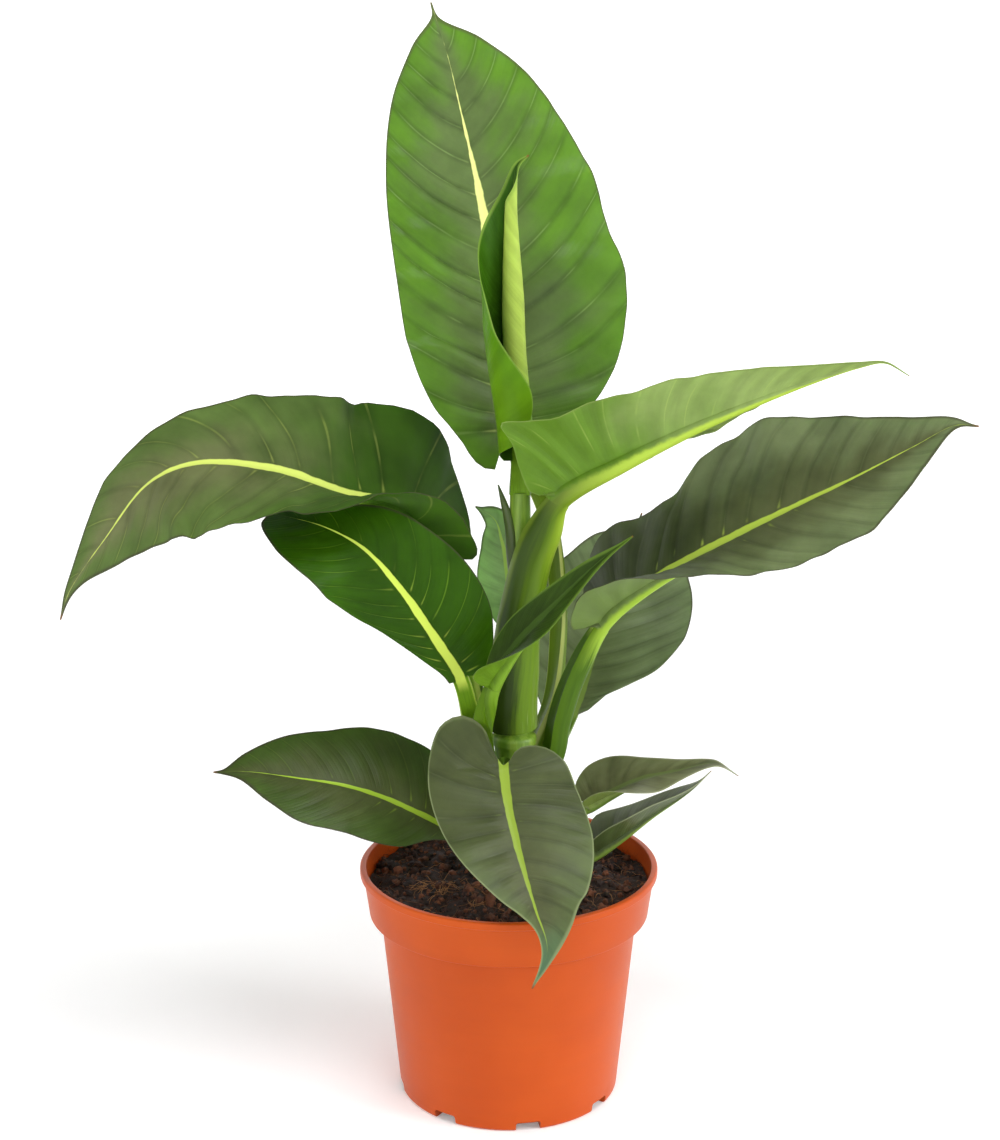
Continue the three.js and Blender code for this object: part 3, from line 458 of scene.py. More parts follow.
# ---------------- leaves
class Leaf:
    """One leaf's form: places on its blade are given along the midrib and out from it."""

    def __init__(self, name):
        self.data = LEAVES[name]
        self.look = LOOKS[name]
        self.shifts = np.random.default_rng(sum(map(ord, name))).uniform(0, math.tau, 4)
        self.path = Line(self.data["spine"])
        self.start = self.path.run[self.data["at"] * Line.PER_SPAN]
        self.length = self.path.length - self.start
        self.root = self.data["stalk"][-1]
        self.margins = {side: self.margin(side) for side in (-1, 1)}

    def margin(self, side):
        """The margin's line, which ends in a drip tip."""
        corners = self.data["right" if side > 0 else "left"]
        a, b = corners[-1]
        tip = (a + 0.65 * (self.length - a), min(DRIP_TIP, 0.3 * b))
        return Line([(0, self.root), *corners, tip, (self.length, DRIP_END)])

    def frame(self, distance, faces, t):
        """Along, right and up vectors at a distance from the stalk's foot."""
        along = self.path.direction(distance)
        right = unit(np.cross(along, unit(eased(faces, t))))
        return along, right, np.cross(right, along)

    def rib_half(self, along):
        return self.root * (1 - RIB_TAPER * np.clip(along / self.length, 0, 1))

    def blade(self, a, b, side):
        """Points and upper face normals of the blade."""
        t = np.clip(a / self.length, 0, 1)
        inner = np.clip(a, STEADY * self.length, self.length)
        along, right, up = self.frame(self.start + inner, self.data["face"], t)
        centre = self.path.at(self.start + np.maximum(a, 0)) + along * np.minimum(a, 0)[..., None]
        fold = np.radians(eased(self.data["fold"][side > 0], t))
        curl = np.radians(eased(self.data["curl"][side > 0], t))
        curl = np.where(np.abs(curl) < 1e-3, 1e-3, curl)
        slope = fold - curl * b / SPAN
        rib = self.rib_half(a)
        rounded = 1 - np.exp(-2 * b / rib)
        out = SPAN / curl * (np.sin(fold) - np.sin(slope)) + (1 - np.cos(fold)) * rib / 2 * rounded
        rise = SPAN / curl * (np.cos(slope) - np.cos(fold)) - np.sin(fold) * rib / 2 * rounded
        tilt = slope * rounded
        normal = np.cos(tilt)[..., None] * up - side * np.sin(tilt)[..., None] * right
        points = centre + (side * out)[..., None] * right + rise[..., None] * up
        return points + self.wave(a, b, t, side)[..., None] * normal, normal

    def wave(self, a, b, t, side):
        """The margin's waves: those of the leaf's form, and small irregular ones."""
        height, on_left, on_right = self.data["wave"]
        turns = (on_left if side < 0 else on_right) * a / self.length
        fade = np.sqrt(np.sin(math.pi * (0.02 + 0.96 * t)))
        large = height * (b / SPAN) ** 2 * np.sin(math.tau * turns)
        small = sum(
            np.sin(math.tau * a / length + shift * (2 + side)) / (1 + k)
            for k, (length, shift) in enumerate(zip(RIPPLES, self.shifts))
        )
        return fade * (large + self.look["ripple"] * small * smoothstep(6, 45, b))

    def point_rings(self):
        """Where the blade's rings lie, base (0) to tip (1), and their phases: whole at each side vein."""
        number = np.clip(round(self.length / VEIN_GAP), *VEINS)
        u = np.linspace(0, 1, 2001)
        wander = 0.12 * np.sin(2.3 * number * u + self.shifts[0]) * u * (1 - u) * 4
        phase = number * (0.4 * u + 0.6 * u**SPREAD) + wander
        wanted = np.arange(number * RINGS_PER_VEIN + 1) / RINGS_PER_VEIN
        return np.interp(wanted, phase, u), wanted

    def across(self, u):
        """For each side: the points' places along and out from the midrib, and the margin's place out."""
        rows = []
        for side in (-1, 1):
            margin = self.margins[side]
            edge = margin.at(margin.length * u**0.9)
            rib = self.length * u**SPREAD
            half = np.minimum(self.rib_half(rib), 0.6 * edge[:, 1])
            inside = half[:, None] * np.sin(np.linspace(0, math.pi / 2, RIB_COLUMNS + 1))
            first = 3 - np.sqrt(np.maximum(9 - 5 * inside / edge[:, 1:], 0))
            rest = np.linspace(0, 1, BLADE_COLUMNS + 1)[1:]
            last = first[:, -1:]
            v = np.concatenate([first, last + (1 - last) * rest], 1)
            a = (1 - v) ** 2 * rib[:, None] + v**2 * edge[:, :1]
            a += 2 * v * (1 - v) * (0.7 * rib[:, None] + 0.3 * edge[:, :1])
            b = edge[:, 1:] * (1.2 * v - 0.2 * v**2)
            rows.append((side, a, b, edge[:, 1:]))
        return rows

    def blade_grid(self):
        u, phase = self.point_rings()
        halves = []
        for side, a, b, edge in self.across(u):
            t = np.clip(a / self.length, 0, 1)
            points, normal = self.blade(a, b, side)
            own_phase = phase[:, None] + (0.5 if side > 0 else 0) + 0 * b
            to_margin = edge - b
            rib = self.rib_half(a)
            fade = smoothstep(0, 9, b - rib) * smoothstep(0.5, 9, to_margin) * smoothstep(1, 0.8, t)
            bulge = np.abs(np.sin(math.pi * own_phase)) + 0.2 * np.abs(np.sin(3 * math.pi * own_phase))
            relief = self.look["relief"][side > 0] * fade * (1 - 0.6 * b / edge) * (bulge - 0.75)
            thick = BLADE_MARGIN + (BLADE - BLADE_MARGIN) * smoothstep(0, 8, to_margin)
            share = np.clip(b / rib, 0, 1)
            groove = 0.05 * self.root * smoothstep(0, 0.05, t) * (1 - t) * np.exp(-((b / rib / 0.45) ** 2))
            depth = RIB_DEPTH * self.root * (1 - t) ** 1.3
            keel = depth * (1 - share**2) ** (0.5 + 0.25 * smoothstep(0, 0.15, t))
            halves.append(dict(
                upper=points + (relief + thick / 2 - groove)[..., None] * normal,
                lower=points + (relief - thick / 2 - keel)[..., None] * normal,
                along=t, across=side * b / edge, rib=side * np.clip(b / rib, 0, 4),
                vein=own_phase, margin=to_margin,
            ))
        return {key: joined(halves[0][key], halves[1][key]) for key in halves[0]}

    def stalk_grid(self, fractions):
        count = max(6, round(self.start / STALK_STEP))
        s = self.start * np.arange(count) / count
        t = s / self.start
        half = eased(self.data["stalk"], t)
        _, right, up = self.frame(s, [*self.data["stalk_face"], self.data["face"][0]], t)
        lift = 0.55 * half * (1 - smoothstep(0, 1, t))
        centre = self.path.at(s) + lift[:, None] * up
        halves = []
        for side in (-1, 1):
            b = half[:, None] * fractions
            base = self.data["fold"][side > 0][0]
            fold = np.radians(CHANNEL * (1 - t**2) + base * t**2)[:, None]
            rounded = 1 - np.exp(-2 * fractions)
            crease = half[:, None] / 2 * rounded
            out, rise = b * np.cos(fold) + (1 - np.cos(fold)) * crease, np.sin(fold) * (b - crease)
            tilt = fold * rounded
            sideways, upwards = side * right[:, None], up[:, None]
            points = centre[:, None] + out[..., None] * sideways + rise[..., None] * upwards
            normal = np.cos(tilt)[..., None] * upwards - np.sin(tilt)[..., None] * sideways
            keel = RIB_DEPTH * half[:, None] * np.sqrt(1 - fractions**2)
            thick = BLADE / 2
            halves.append(dict(
                upper=points + thick * normal, lower=points - (thick + keel)[..., None] * normal,
                along=(t - 1.001)[:, None] + 0 * b, across=side * fractions + 0 * b,
                rib=side * fractions + 0 * b, vein=0 * b, margin=half[:, None] - b,
            ))
        return {key: joined(halves[0][key], halves[1][key]) for key in halves[0]}

    def piece(self, name, material):
        blade = self.blade_grid()
        middle = blade["across"].shape[1] // 2
        stalk = self.stalk_grid(blade["across"][0, middle:])
        whole = {key: np.concatenate([stalk[key], blade[key]]) for key in blade}
        points, faces = two_faced(whole.pop("upper"), whole.pop("lower"))
        values = {key: np.tile(numbers.ravel(), 2) for key, numbers in whole.items()}
        values["under"] = np.repeat([0, 1], len(points) // 2)
        return new_object(name, points, faces, material, values)


def joined(left, right):
    """A row from the left margin to the right one, from two halves that both start at the midrib."""
    return np.concatenate([left[:, :0:-1], right], 1)


# ---------------- turned forms
def filleted(corners):
    """An outline of (radius, height) points from corners given as (radius, height, fillet radius)."""
    outline = [np.array(corners[0][:2], float)]
    for before, corner, after in zip(corners, corners[1:], corners[2:]):
        here = np.array(corner[:2], float)
        back, ahead = unit(np.array(before[:2]) - here), unit(np.array(after[:2]) - here)
        bend = math.acos(np.clip(back @ ahead, -1, 1)) / 2
        if corner[2] == 0:
            outline.append(here)
            continue
        cut = corner[2] / math.tan(bend)
        centre = here + unit(back + ahead) * corner[2] / math.sin(bend)
        start, end = here + back * cut - centre, here + ahead * cut - centre
        for t in np.linspace(0, 1, FILLET_POINTS):
            spoke = unit(start * (1 - t) + end * t) * corner[2]
            outline.append(centre + spoke)
    outline.append(np.array(corners[-1][:2], float))
    return np.array(outline)


def divided(outline, longest):
    """The same outline with no step longer than `longest`."""
    points = [outline[0]]
    for start, end in zip(outline, outline[1:]):
        count = max(1, math.ceil(np.linalg.norm(end - start) / longest))
        points += [start + (end - start) * k / count for k in range(1, count + 1)]
    return np.array(points)


def capped(rows):
    """Points and quads of a closed form through level rings of points, from the lowest to the highest."""
    count, sides = rows.shape[:2]
    body = grid_faces(count, sides, closed=True)
    points = np.concatenate([rows.reshape(-1, 3), rows[[0, -1]].mean(1)])
    low, high = len(points) - 2, len(points) - 1
    around = np.arange(sides)
    after = np.roll(around, -1)
    last = (count - 1) * sides
    ends = [(low, b, a) for a, b in zip(around, after)]
    ends += [(high, last + a, last + b) for a, b in zip(around, after)]
    return points, [*body.tolist(), *ends]


def turned_rows(outline, sides):
    angle = math.tau * np.arange(sides) / sides
    radius, height = outline[:, :1], outline[:, 1:]
    return np.stack([radius * np.cos(angle), radius * np.sin(angle), height + 0 * angle], -1)


# ---------------- pot
def pot_piece(material):
    p = POT
    lip_inner, ledge = p["lip_foot"] - p["wall"], p["lip_bottom"] + p["wall"]
    corners = [
        (0.01, 0, 0), (p["body_foot"] - 0.3, 0, 2.2), (p["body_top"], p["lip_bottom"], 0.5),
        (p["lip_foot"], p["lip_bottom"], 0.9), (p["lip_top"], p["height"] - p["bead_height"] - 1, 0.7),
        (p["bead"], p["height"] - p["bead_height"], 0.8), (p["bead"], p["height"], 1.1),
        (p["lip_top"] - p["wall"], p["height"], 0.7), (lip_inner, ledge, 1),
        (p["body_top"] - p["wall"], ledge, 0.8), (p["foot"] - 0.4, p["base"], 3), (0.01, p["base"], 0),
    ]
    points, faces = capped(turned_rows(divided(filleted(corners), 4), 192))
    pot = new_object("pot_body", points, faces, material)
    notches = [drain_notch(k, material) for k in range(DRAIN["count"])]
    for notch in notches:
        cut = pot.modifiers.new("cut", "BOOLEAN")
        cut.operation, cut.solver, cut.object = "DIFFERENCE", "EXACT", notch
    applied(pot)
    for notch in notches:
        bpy.data.objects.remove(notch)
    return pot


def drain_notch(number, material):
    """The block cut out of the pot's foot for one drain: flat on top, with rounded upper corners."""
    wide, tall, corner = DRAIN["width"] / 2, DRAIN["height"], DRAIN["corner"]
    arc = [
        (wide + corner * (math.sin(turn) - 1), tall + corner * (math.cos(turn) - 1))
        for turn in np.linspace(0, math.pi / 2, 6)
    ]
    section = [*[(-x, z) for x, z in reversed(arc)], *arc, (wide + 0.2, -5), (-wide - 0.2, -5)]
    near, far = POT["body_foot"] - DRAIN["depth"], POT["body_foot"] + 12
    points = np.array([(depth, x, z) for depth in (near, far) for x, z in section])
    angle = math.radians(DRAIN["first"] + 360 / DRAIN["count"] * number - 90)
    cos, sin = math.cos(angle), math.sin(angle)
    turn = np.array([[cos, sin, 0], [-sin, cos, 0], [0, 0, 1]])
    size = len(section)
    faces = [(k, size + k, size + (k + 1) % size, (k + 1) % size) for k in range(size)]
    faces += [range(size), range(2 * size - 1, size - 1, -1)]
    return new_object(f"notch_{number}", points @ turn, faces, material)


def applied(piece):
    """Turns the piece's modifiers into its mesh."""
    view = bpy.context.evaluated_depsgraph_get()
    mesh = bpy.data.meshes.new_from_object(piece.evaluated_get(view))
    piece.modifiers.clear()
    piece.data = mesh
    mesh.shade_smooth()
    mesh.set_sharp_from_angle(angle=math.radians(40))


# ---------------- soil
def soil_height(x, y):
    """The height of the potting mix: a low mound with dips, and with lumps of three sizes."""
    r = math.hypot(x, y) / SOIL["radius"]
    dips = 0.7 * math.sin(x / 9 + 1) * math.cos(y / 11) + 0.5 * math.sin((x + 2 * y) / 17)
    lumps = sum(height * noise.noise(Vector((x, y, 9 * size)) / size) for size, height in BED_LUMPS)
    return SOIL["edge"] + SOIL["mound"] * (1 - r * r) + dips * (1 - r**6) + lumps


def soil_piece(material):
    p = POT
    inner = p["wall"] + 0.3
    ledge = p["lip_bottom"] + inner
    slope = (p["body_top"] - p["body_foot"]) / (p["lip_bottom"] - 3)
    floor = DRAIN["height"] + 1
    sides = [
        (p["body_foot"] - DRAIN["depth"] - 2, floor - 3.5),
        (p["body_foot"] + slope * floor - inner - 0.6, floor),
        (p["body_top"] - inner, ledge), (p["lip_foot"] - inner, ledge + 0.4),
    ]
    wide = SOIL["radius"]
    top = [(wide * k / 88, 0) for k in range(88, 0, -1)]
    rows = turned_rows(np.array([*sides, *top]), 224)
    for row in rows[len(sides):]:
        row[:, 2] = [soil_height(x, y) for x, y, _ in row]
    rows[len(sides), :, 2] = np.maximum(rows[len(sides), :, 2], ledge + 3)
    points, faces = capped(rows)
    return new_object("soil_bed", points, faces, material, dict(tone=np.full(len(points), 0.3)))


def crumbs_piece(material):
    """Loose crumbs of peat, bark and clay lying on the bed, as one mesh; `tone` says how light each is."""
    draw = np.random.default_rng(11)
    ball = bmesh_ball()
    shells = []
    crumbs = [
        (*bed_place(draw, 0.985), 0.5 + 2.1 * draw.random() ** 3, draw.random())
        for _ in range(CRUMBS)
    ]
    for x, y, size, tone in [*crumbs, *LARGE_CRUMBS]:
        shape = unit(ball[0]) * (1 + 0.28 * draw.uniform(-1, 1, (len(ball[0]), 1)))
        turn = np.linalg.qr(draw.normal(size=(3, 3)))[0]
        shape = shape * draw.uniform(0.65, 1.25, 3) @ (turn * np.linalg.det(turn)) * size
        shells.append((shape + (x, y, soil_height(x, y) + 0.35 * size), ball[1], tone))
    return merged("soil_crumbs", shells, material)


def bed_place(draw, reach):
    """A place on the bed, evenly spread within `reach` of its edge and clear of the shoot."""
    while True:
        angle, r = draw.uniform(0, math.tau), SOIL["radius"] * reach * math.sqrt(draw.random())
        if r > SHOOT_ROOM:
            return r * math.cos(angle), r * math.sin(angle)


def bmesh_ball():
    ball = bmesh.new()
    bmesh.ops.create_icosphere(ball, subdivisions=2, radius=1)
    points = np.array([corner.co for corner in ball.verts])
    faces = np.array([[corner.index for corner in face.verts] for face in ball.faces])
    ball.free()
    return points, faces


def fibres_piece(material):
    """Coir fibres: thin bent hairs all over the bed, and a pale tuft of them, as one mesh."""
    draw = np.random.default_rng(23)
    shells = []
    for number in range(FIBRES):
        x, y = bed_place(draw, 0.96)
        heading, bend = draw.uniform(0, math.tau), draw.normal(0, 0.25)
        tone = draw.random() ** 1.5
        if number % TUFT_EVERY == 0:
            x, y = PALE_TUFT + draw.normal(0, 3, 2)
            tone = draw.uniform(0.85, 1)
        step = draw.uniform(0.9, 2.8)
        radius = draw.uniform(0.08, 0.19)
        rings = []
        for k in range(FIBRE_RINGS):
            if math.hypot(x, y) < SOIL["radius"] - 1:
                x, y = x + step * math.cos(heading), y + step * math.sin(heading)
            heading += bend + draw.normal(0, 0.2)
            lift = 1.1 + 1.4 * math.sin(math.pi * k / (FIBRE_RINGS - 1)) * (number % 3) / 2
            across = np.array([-math.sin(heading), math.cos(heading), 0])
            middle = np.array([x, y, soil_height(x, y) + lift])
            slim = radius * (1 - 0.6 * abs(2 * k / (FIBRE_RINGS - 1) - 1) ** 3)
            for j in range(FIBRE_SIDES):
                spoke = math.tau * j / FIBRE_SIDES
                rings.append(middle + slim * (across * math.cos(spoke) + np.array([0, 0, math.sin(spoke)])))
        shells.append((*capped(np.array(rings).reshape(FIBRE_RINGS, FIBRE_SIDES, 3)), tone))
    return merged("soil_fibres", shells, material)


# ---------------- shoot
def tube_rows(line, sides, rings, relief):
    """Level rings round a line of (x, y, z, radius) points; `relief` adds to each ring's radius."""
    place = np.linspace(0, line.length, rings)
    x, y, z, radius = line.at(place).T[:, :, None]
    radius = radius + relief(z)
    angle = math.tau * np.arange(sides) / sides
    return np.stack([x + radius * np.cos(angle), y + radius * np.sin(angle), z + 0 * angle], -1)


def scars(z):
    """Low rings where old leaves were attached."""
    return sum(0.5 * np.exp(-(((z - height) / 0.9) ** 2)) for height in SCARS)


def stem_piece(material):
    points, faces = capped(tube_rows(Line(SHOOT), 64, 260, scars))
    tip_points, tip_faces = capped(tube_rows(Line(SHEATH_TIP), 20, 30, lambda z: 0 * z))
    faces += [[corner + len(points) for corner in face] for face in tip_faces]
    values = dict(sheath=np.repeat([0, 1], [len(points), len(tip_points)]))
    return new_object("stem_shoot", np.concatenate([points, tip_points]), faces, material, values)


# ---------------- materials
DRY_COLOUR = (118, 74, 42)
FLESH = (0.6, 1.0, 0.25)    # how far red, green and blue light goes into a leaf, against each other
DIRT_FOOT = (0.112, 0.113)  # heights in metres between which the dirt inside the pot's lip begins
DIRT_TOP = (0.133, 0.122)   # and between which it thins out
CORKY = (0.17, 0.125)       # heights in metres between which the old part of the stem turns brown
BLOTCHED = (0.2, 0.17)      # and between which dark blotches come in


def linear(colour):
    """A linear RGBA colour from sRGB numbers of 0 to 255."""
    shares = np.array(colour) / 255
    return (*np.where(shares <= 0.04045, shares / 12.92, ((shares + 0.055) / 1.055) ** 2.4), 1)


class Graph:
    """A material's nodes, put together as expressions. Places are in metres, in the plant's frame."""

    def __init__(self, name):
        self.material = bpy.data.materials.new(name)
        self.material.use_nodes = True
        self.tree = self.material.node_tree
        self.shader = self.tree.nodes["Principled BSDF"]

    def set(self, socket, value):
        self.feed(self.shader.inputs[socket], value)

    def feed(self, socket, value):
        if isinstance(value, bpy.types.NodeSocket):
            self.tree.links.new(value, socket)
        else:
            socket.default_value = value

    def flesh(self, weight, radius, depth):
        """Lets some light pass into the surface, `depth` metres at most."""
        self.set("Subsurface Weight", weight)
        self.set("Subsurface Radius", radius)
        self.set("Subsurface Scale", depth)

    def node(self, kind, *values, **settings):
        node = self.tree.nodes.new("ShaderNode" + kind)
        for key, value in settings.items():
            setattr(node, key, value)
        for socket, value in zip(node.inputs, values):
            if value is not None:
                self.feed(socket, value)
        return node

    def math(self, operation, *values):
        return self.node("Math", *values, operation=operation).outputs[0]

    def times(self, result, *others):
        for other in others:
            result = self.math("MULTIPLY", result, other)
        return result

    def plus(self, result, *others):
        for other in others:
            result = self.math("ADD", result, other)
        return result

    def number(self, name):
        """A number that the mesh carries for each point."""
        return self.node("Attribute", attribute_name=name).outputs["Fac"]

    def place(self, *stretch):
        place = self.node("TexCoord").outputs["Object"]
        if not stretch:
            return place
        return self.node("VectorMath", place, stretch, operation="MULTIPLY").outputs[0]

    def height(self):
        return self.node("SeparateXYZ", self.place()).outputs[2]

    def noise(self, scale, detail=3, roughness=0.5, place=None):
        node = self.node("TexNoise", place or self.place(), None, scale, detail, roughness)
        return node.outputs[0]

    def streaked(self, x, x_scale, y, y_scale, detail, roughness=0.6):
        """Noise over two of the mesh's numbers, drawn out along the one with the smaller scale."""
        place = self.node("CombineXYZ", self.times(x, x_scale), self.times(y, y_scale)).outputs[0]
        return self.noise(1, detail, roughness, place)

    def step(self, value, low, high):
        """0 at `low`, 1 at `high`, smooth between them."""
        node = self.node("MapRange", value, low, high, 0, 1, interpolation_type="SMOOTHSTEP")
        return node.outputs[0]

    def between(self, share, low, high):
        return self.node("MapRange", share, 0, 1, low, high).outputs[0]

    def shaken(self, value, noise, reach):
        """The value, moved down or up by the noise, by `reach` at most."""
        return self.plus(value, self.between(noise, -reach, reach))

    def mix(self, share, first, second):
        node = self.node("Mix", data_type="RGBA")
        for socket, value in zip((node.inputs[0], node.inputs[6], node.inputs[7]), (share, first, second)):
            self.feed(socket, linear(value) if isinstance(value, tuple) else value)
        return node.outputs[2]

    def shade(self, colour, brightness):
        """The colour made lighter or darker."""
        colour = linear(colour)[:3] if isinstance(colour, tuple) else colour
        node = self.node("VectorMath", colour, operation="SCALE")
        self.feed(node.inputs["Scale"], brightness)
        return node.outputs[0]

    def bump(self, height, depth, below=None):
        """A small relief: depth in metres between the height's 0 and 1."""
        node = self.node("Bump")
        node.inputs["Distance"].default_value = depth
        self.feed(node.inputs["Height"], height)
        if below is not None:
            self.feed(node.inputs["Normal"], below)
        return node.outputs[0]


class LeafGraph(Graph):
    """A leaf's material, painted by the numbers that its mesh carries."""

    def __init__(self, name, look):
        super().__init__(name)
        self.look = look
        self.along, self.vein, self.is_under = map(self.number, ("along", "vein", "under"))
        self.signed_rib, self.signed_across = self.number("rib"), self.number("across")
        self.rib = self.math("ABSOLUTE", self.signed_rib)
        self.across = self.math("ABSOLUTE", self.signed_across)
        self.clouds, self.mottle = self.noise(24, 3), self.noise(300, 4, 0.6)
        self.streaks = self.streaked(self.vein, 1.6, self.signed_across, 1.4, 2, 0.5)
        self.from_vein = self.math("PINGPONG", self.vein, 0.5)
        self.past_rib = self.step(self.rib, 0.9, 1.6)
        self.near_base = self.step(self.shaken(self.along, self.clouds, 0.25), 0.55, 0.15)
        self.lines = side_veins(self)
        self.stripe = midrib(self)


def side_veins(g):
    """Thin lines on the side veins, which come and go."""
    thin = g.step(g.from_vein, 0.04, 0.012)
    seen = g.step(g.noise(45, 2), 0.35, 0.62)
    return g.times(thin, g.past_rib, seen, g.look["lines"])


def midrib(g):
    """The midrib's stripe, with a wavy edge, narrower towards the tip."""
    end = g.look["rib_end"]
    wavy = g.shaken(g.math("DIVIDE", g.rib, g.look["rib_width"]), g.noise(130, 2), 0.3)
    wavy = g.plus(wavy, g.step(g.along, 0.3 * end, end))
    return g.times(g.step(wavy, 1.1, 0.85), g.step(g.along, *g.look["rib_start"]))


def spurs(g):
    """The starts of some side veins at the midrib, each coming to a point."""
    pointed = g.step(g.plus(g.from_vein, g.times(g.rib, 0.022)), 0.13, 0.03)
    some = g.step(g.noise(90, 1), 0.4, 0.6)
    fading = g.times(g.step(g.rib, 4, 1), g.step(g.along, 0.8, 0.1))
    return g.times(pointed, some, fading, g.past_rib, g.look["spurs"])


def upper_face(g):
    """The upper face: a dull middle and a fresher rim in patches, the side veins and the midrib,
    with painted shade in the veins' grooves and broad patches that are partly painted sheen.
    """
    look = g.look
    share = g.shaken(g.shaken(g.across, g.clouds, 0.7), g.streaks, 0.3)
    colour = g.mix(g.step(share, 0.1, 0.95), look["middle"], look["outer"])
    if "near" in look:
        colour = g.mix(g.near_base, colour, look["near"])
    colour = g.mix(g.lines, colour, look["vein"])
    # Painted shade in the side veins' grooves, deeper where the relief is higher, and a little painted
    # light on the panels between them.
    painted_groove_shade = -0.08 * sum(look["relief"])
    brightness = g.between(g.step(g.from_vein, 0.02, 0.2), painted_groove_shade, 0.04)
    brightness = g.plus(brightness, g.between(g.streaks, 0.8, 1.2))
    # Broad soft patches, lighter and darker: partly the leaf's own uneven tone, partly painted sheen.
    brightness = g.shaken(g.shaken(brightness, g.mottle, 0.1), g.noise(38, 2), 0.45)
    stripe = g.math("MAXIMUM", g.stripe, spurs(g))
    colour = g.mix(stripe, g.shade(colour, brightness), look["rib"])
    if "cool_tip" in look:
        towards_tip = g.step(g.shaken(g.along, g.clouds, 0.2), 0.68, 0.95)
        colour = g.mix(towards_tip, colour, look["cool_tip"])
    return colour


def stalk_and_keel(g):
    """The stalk's colour, streaked lengthwise, and that of the keel, which runs down into the stalk."""
    look, keel = g.look, g.look["keel"]
    fibres = g.streaked(g.signed_rib, 7, g.along, 3, 4)
    stalk = g.shade(look["stalk"], g.between(fibres, 0.5, 1.5))
    pale = g.step(g.shaken(g.along, fibres, 0.12), *look["keel_end"])
    if "stalk_dark" in look:
        stalk = sheath(g, stalk, fibres)
        # On a sheath the keel's pale colour shows only on the side next to the light; on the far side the
        # sheath's painted shade covers it.
        lit = g.math("MAXIMUM", g.step(g.signed_rib, 0.35, -0.35), g.step(g.along, -0.1, 0.25))
        pale = g.times(pale, lit)
        keel = g.mix(lit, stalk, keel)
    at_edge = g.times(g.step(g.across, 0.9, 1), 0.5)
    top_stripe = g.times(g.stripe, g.step(g.along, -0.12, 0))
    top = g.mix(top_stripe, g.mix(at_edge, stalk, look["stalk_edge"]), look["rib"])
    back = g.mix(at_edge, g.mix(pale, stalk, look["keel"]), look["stalk_edge"])
    return g.mix(g.is_under, top, back), keel


def sheath(g, stalk, fibres):
    """A broad sheath: painted shade on its side away from the light, deepest near its foot, and a painted
    sheen and pale scratches on the side next to the light.
    """
    look, side = g.look, g.signed_rib
    far = g.shaken(side, fibres, 0.4)
    low = g.step(g.along, -0.5, -0.8)
    # Painted shade on the side away from the light.
    stalk = g.mix(g.step(far, -0.1, 0.75), stalk, look["stalk_dark"])
    # Deeper painted shade on that side near the foot.
    stalk = g.mix(g.times(g.step(far, 0, 0.4), low), stalk, look["stalk_foot"])
    # A painted sheen: a pale streak on the side next to the light, strongest near the foot.
    sheen = g.times(g.step(far, -0.2, -0.5), g.step(side, -0.98, -0.7), g.between(low, 0.1, 0.6))
    stalk = g.mix(sheen, stalk, look["under"])
    scratches = g.step(g.streaked(side, 24, g.along, 6, 3), 0.6, 0.7)
    scratches = g.times(scratches, low, g.step(side, 0.3, -0.7))
    return g.mix(scratches, stalk, look["under"])


def underside(g, keel):
    """The underside, with the midrib and the side veins in their own colours."""
    look, colour = g.look, g.look["under"]
    if "under_near" in look:
        colour = g.mix(g.near_base, colour, look["under_near"])
    if "under_right" in look:
        rolled = g.times(g.step(g.signed_across, 0.02, 0.1), g.step(g.along, 0.12, 0.4))
        colour = g.mix(rolled, colour, look["under_right"])
    colour = g.mix(g.times(g.lines, 0.7), colour, look["vein"])
    brightness = g.between(g.step(g.from_vein, 0.4, 0.1), -0.06, 0.06)
    brightness = g.plus(brightness, g.between(g.streaks, 0.75, 1.25))
    colour = g.shade(colour, g.shaken(brightness, g.mottle, 0.08))
    from_keel = g.plus(g.shaken(g.rib, g.mottle, 0.15), g.times(g.along, 0.4))
    return g.mix(g.step(from_keel, 1, 0.7), colour, keel)


def leaf_material(name, look):
    g = LeafGraph(name, look)
    stalk, keel = stalk_and_keel(g)
    colour = g.mix(g.is_under, upper_face(g), underside(g, keel))
    colour = g.mix(g.step(g.along, 0, -0.02), colour, stalk)
    at_margin = g.times(g.step(g.number("margin"), 1, 0.25), g.step(g.along, -0.02, 0.02), 0.7)
    colour = g.mix(at_margin, colour, look["edge"])
    dry = g.step(g.shaken(g.along, g.mottle, 0.02), 0.995 - 0.04 * look["tip"], 1)
    g.set("Base Color", g.mix(dry, colour, DRY_COLOUR))
    g.set("Roughness", g.shaken(g.between(g.streaks, *look["dull"]), g.mottle, 0.06))
    g.set("Specular IOR Level", look["gloss"])
    nerves = g.step(g.math("PINGPONG", g.times(g.vein, 4), 0.5), 0, 0.3)
    g.set("Normal", g.bump(g.times(nerves, g.past_rib), 0.00004, g.bump(g.noise(1500, 2), 0.00004)))
    g.flesh(0.1, FLESH, 0.002)
    return g.material


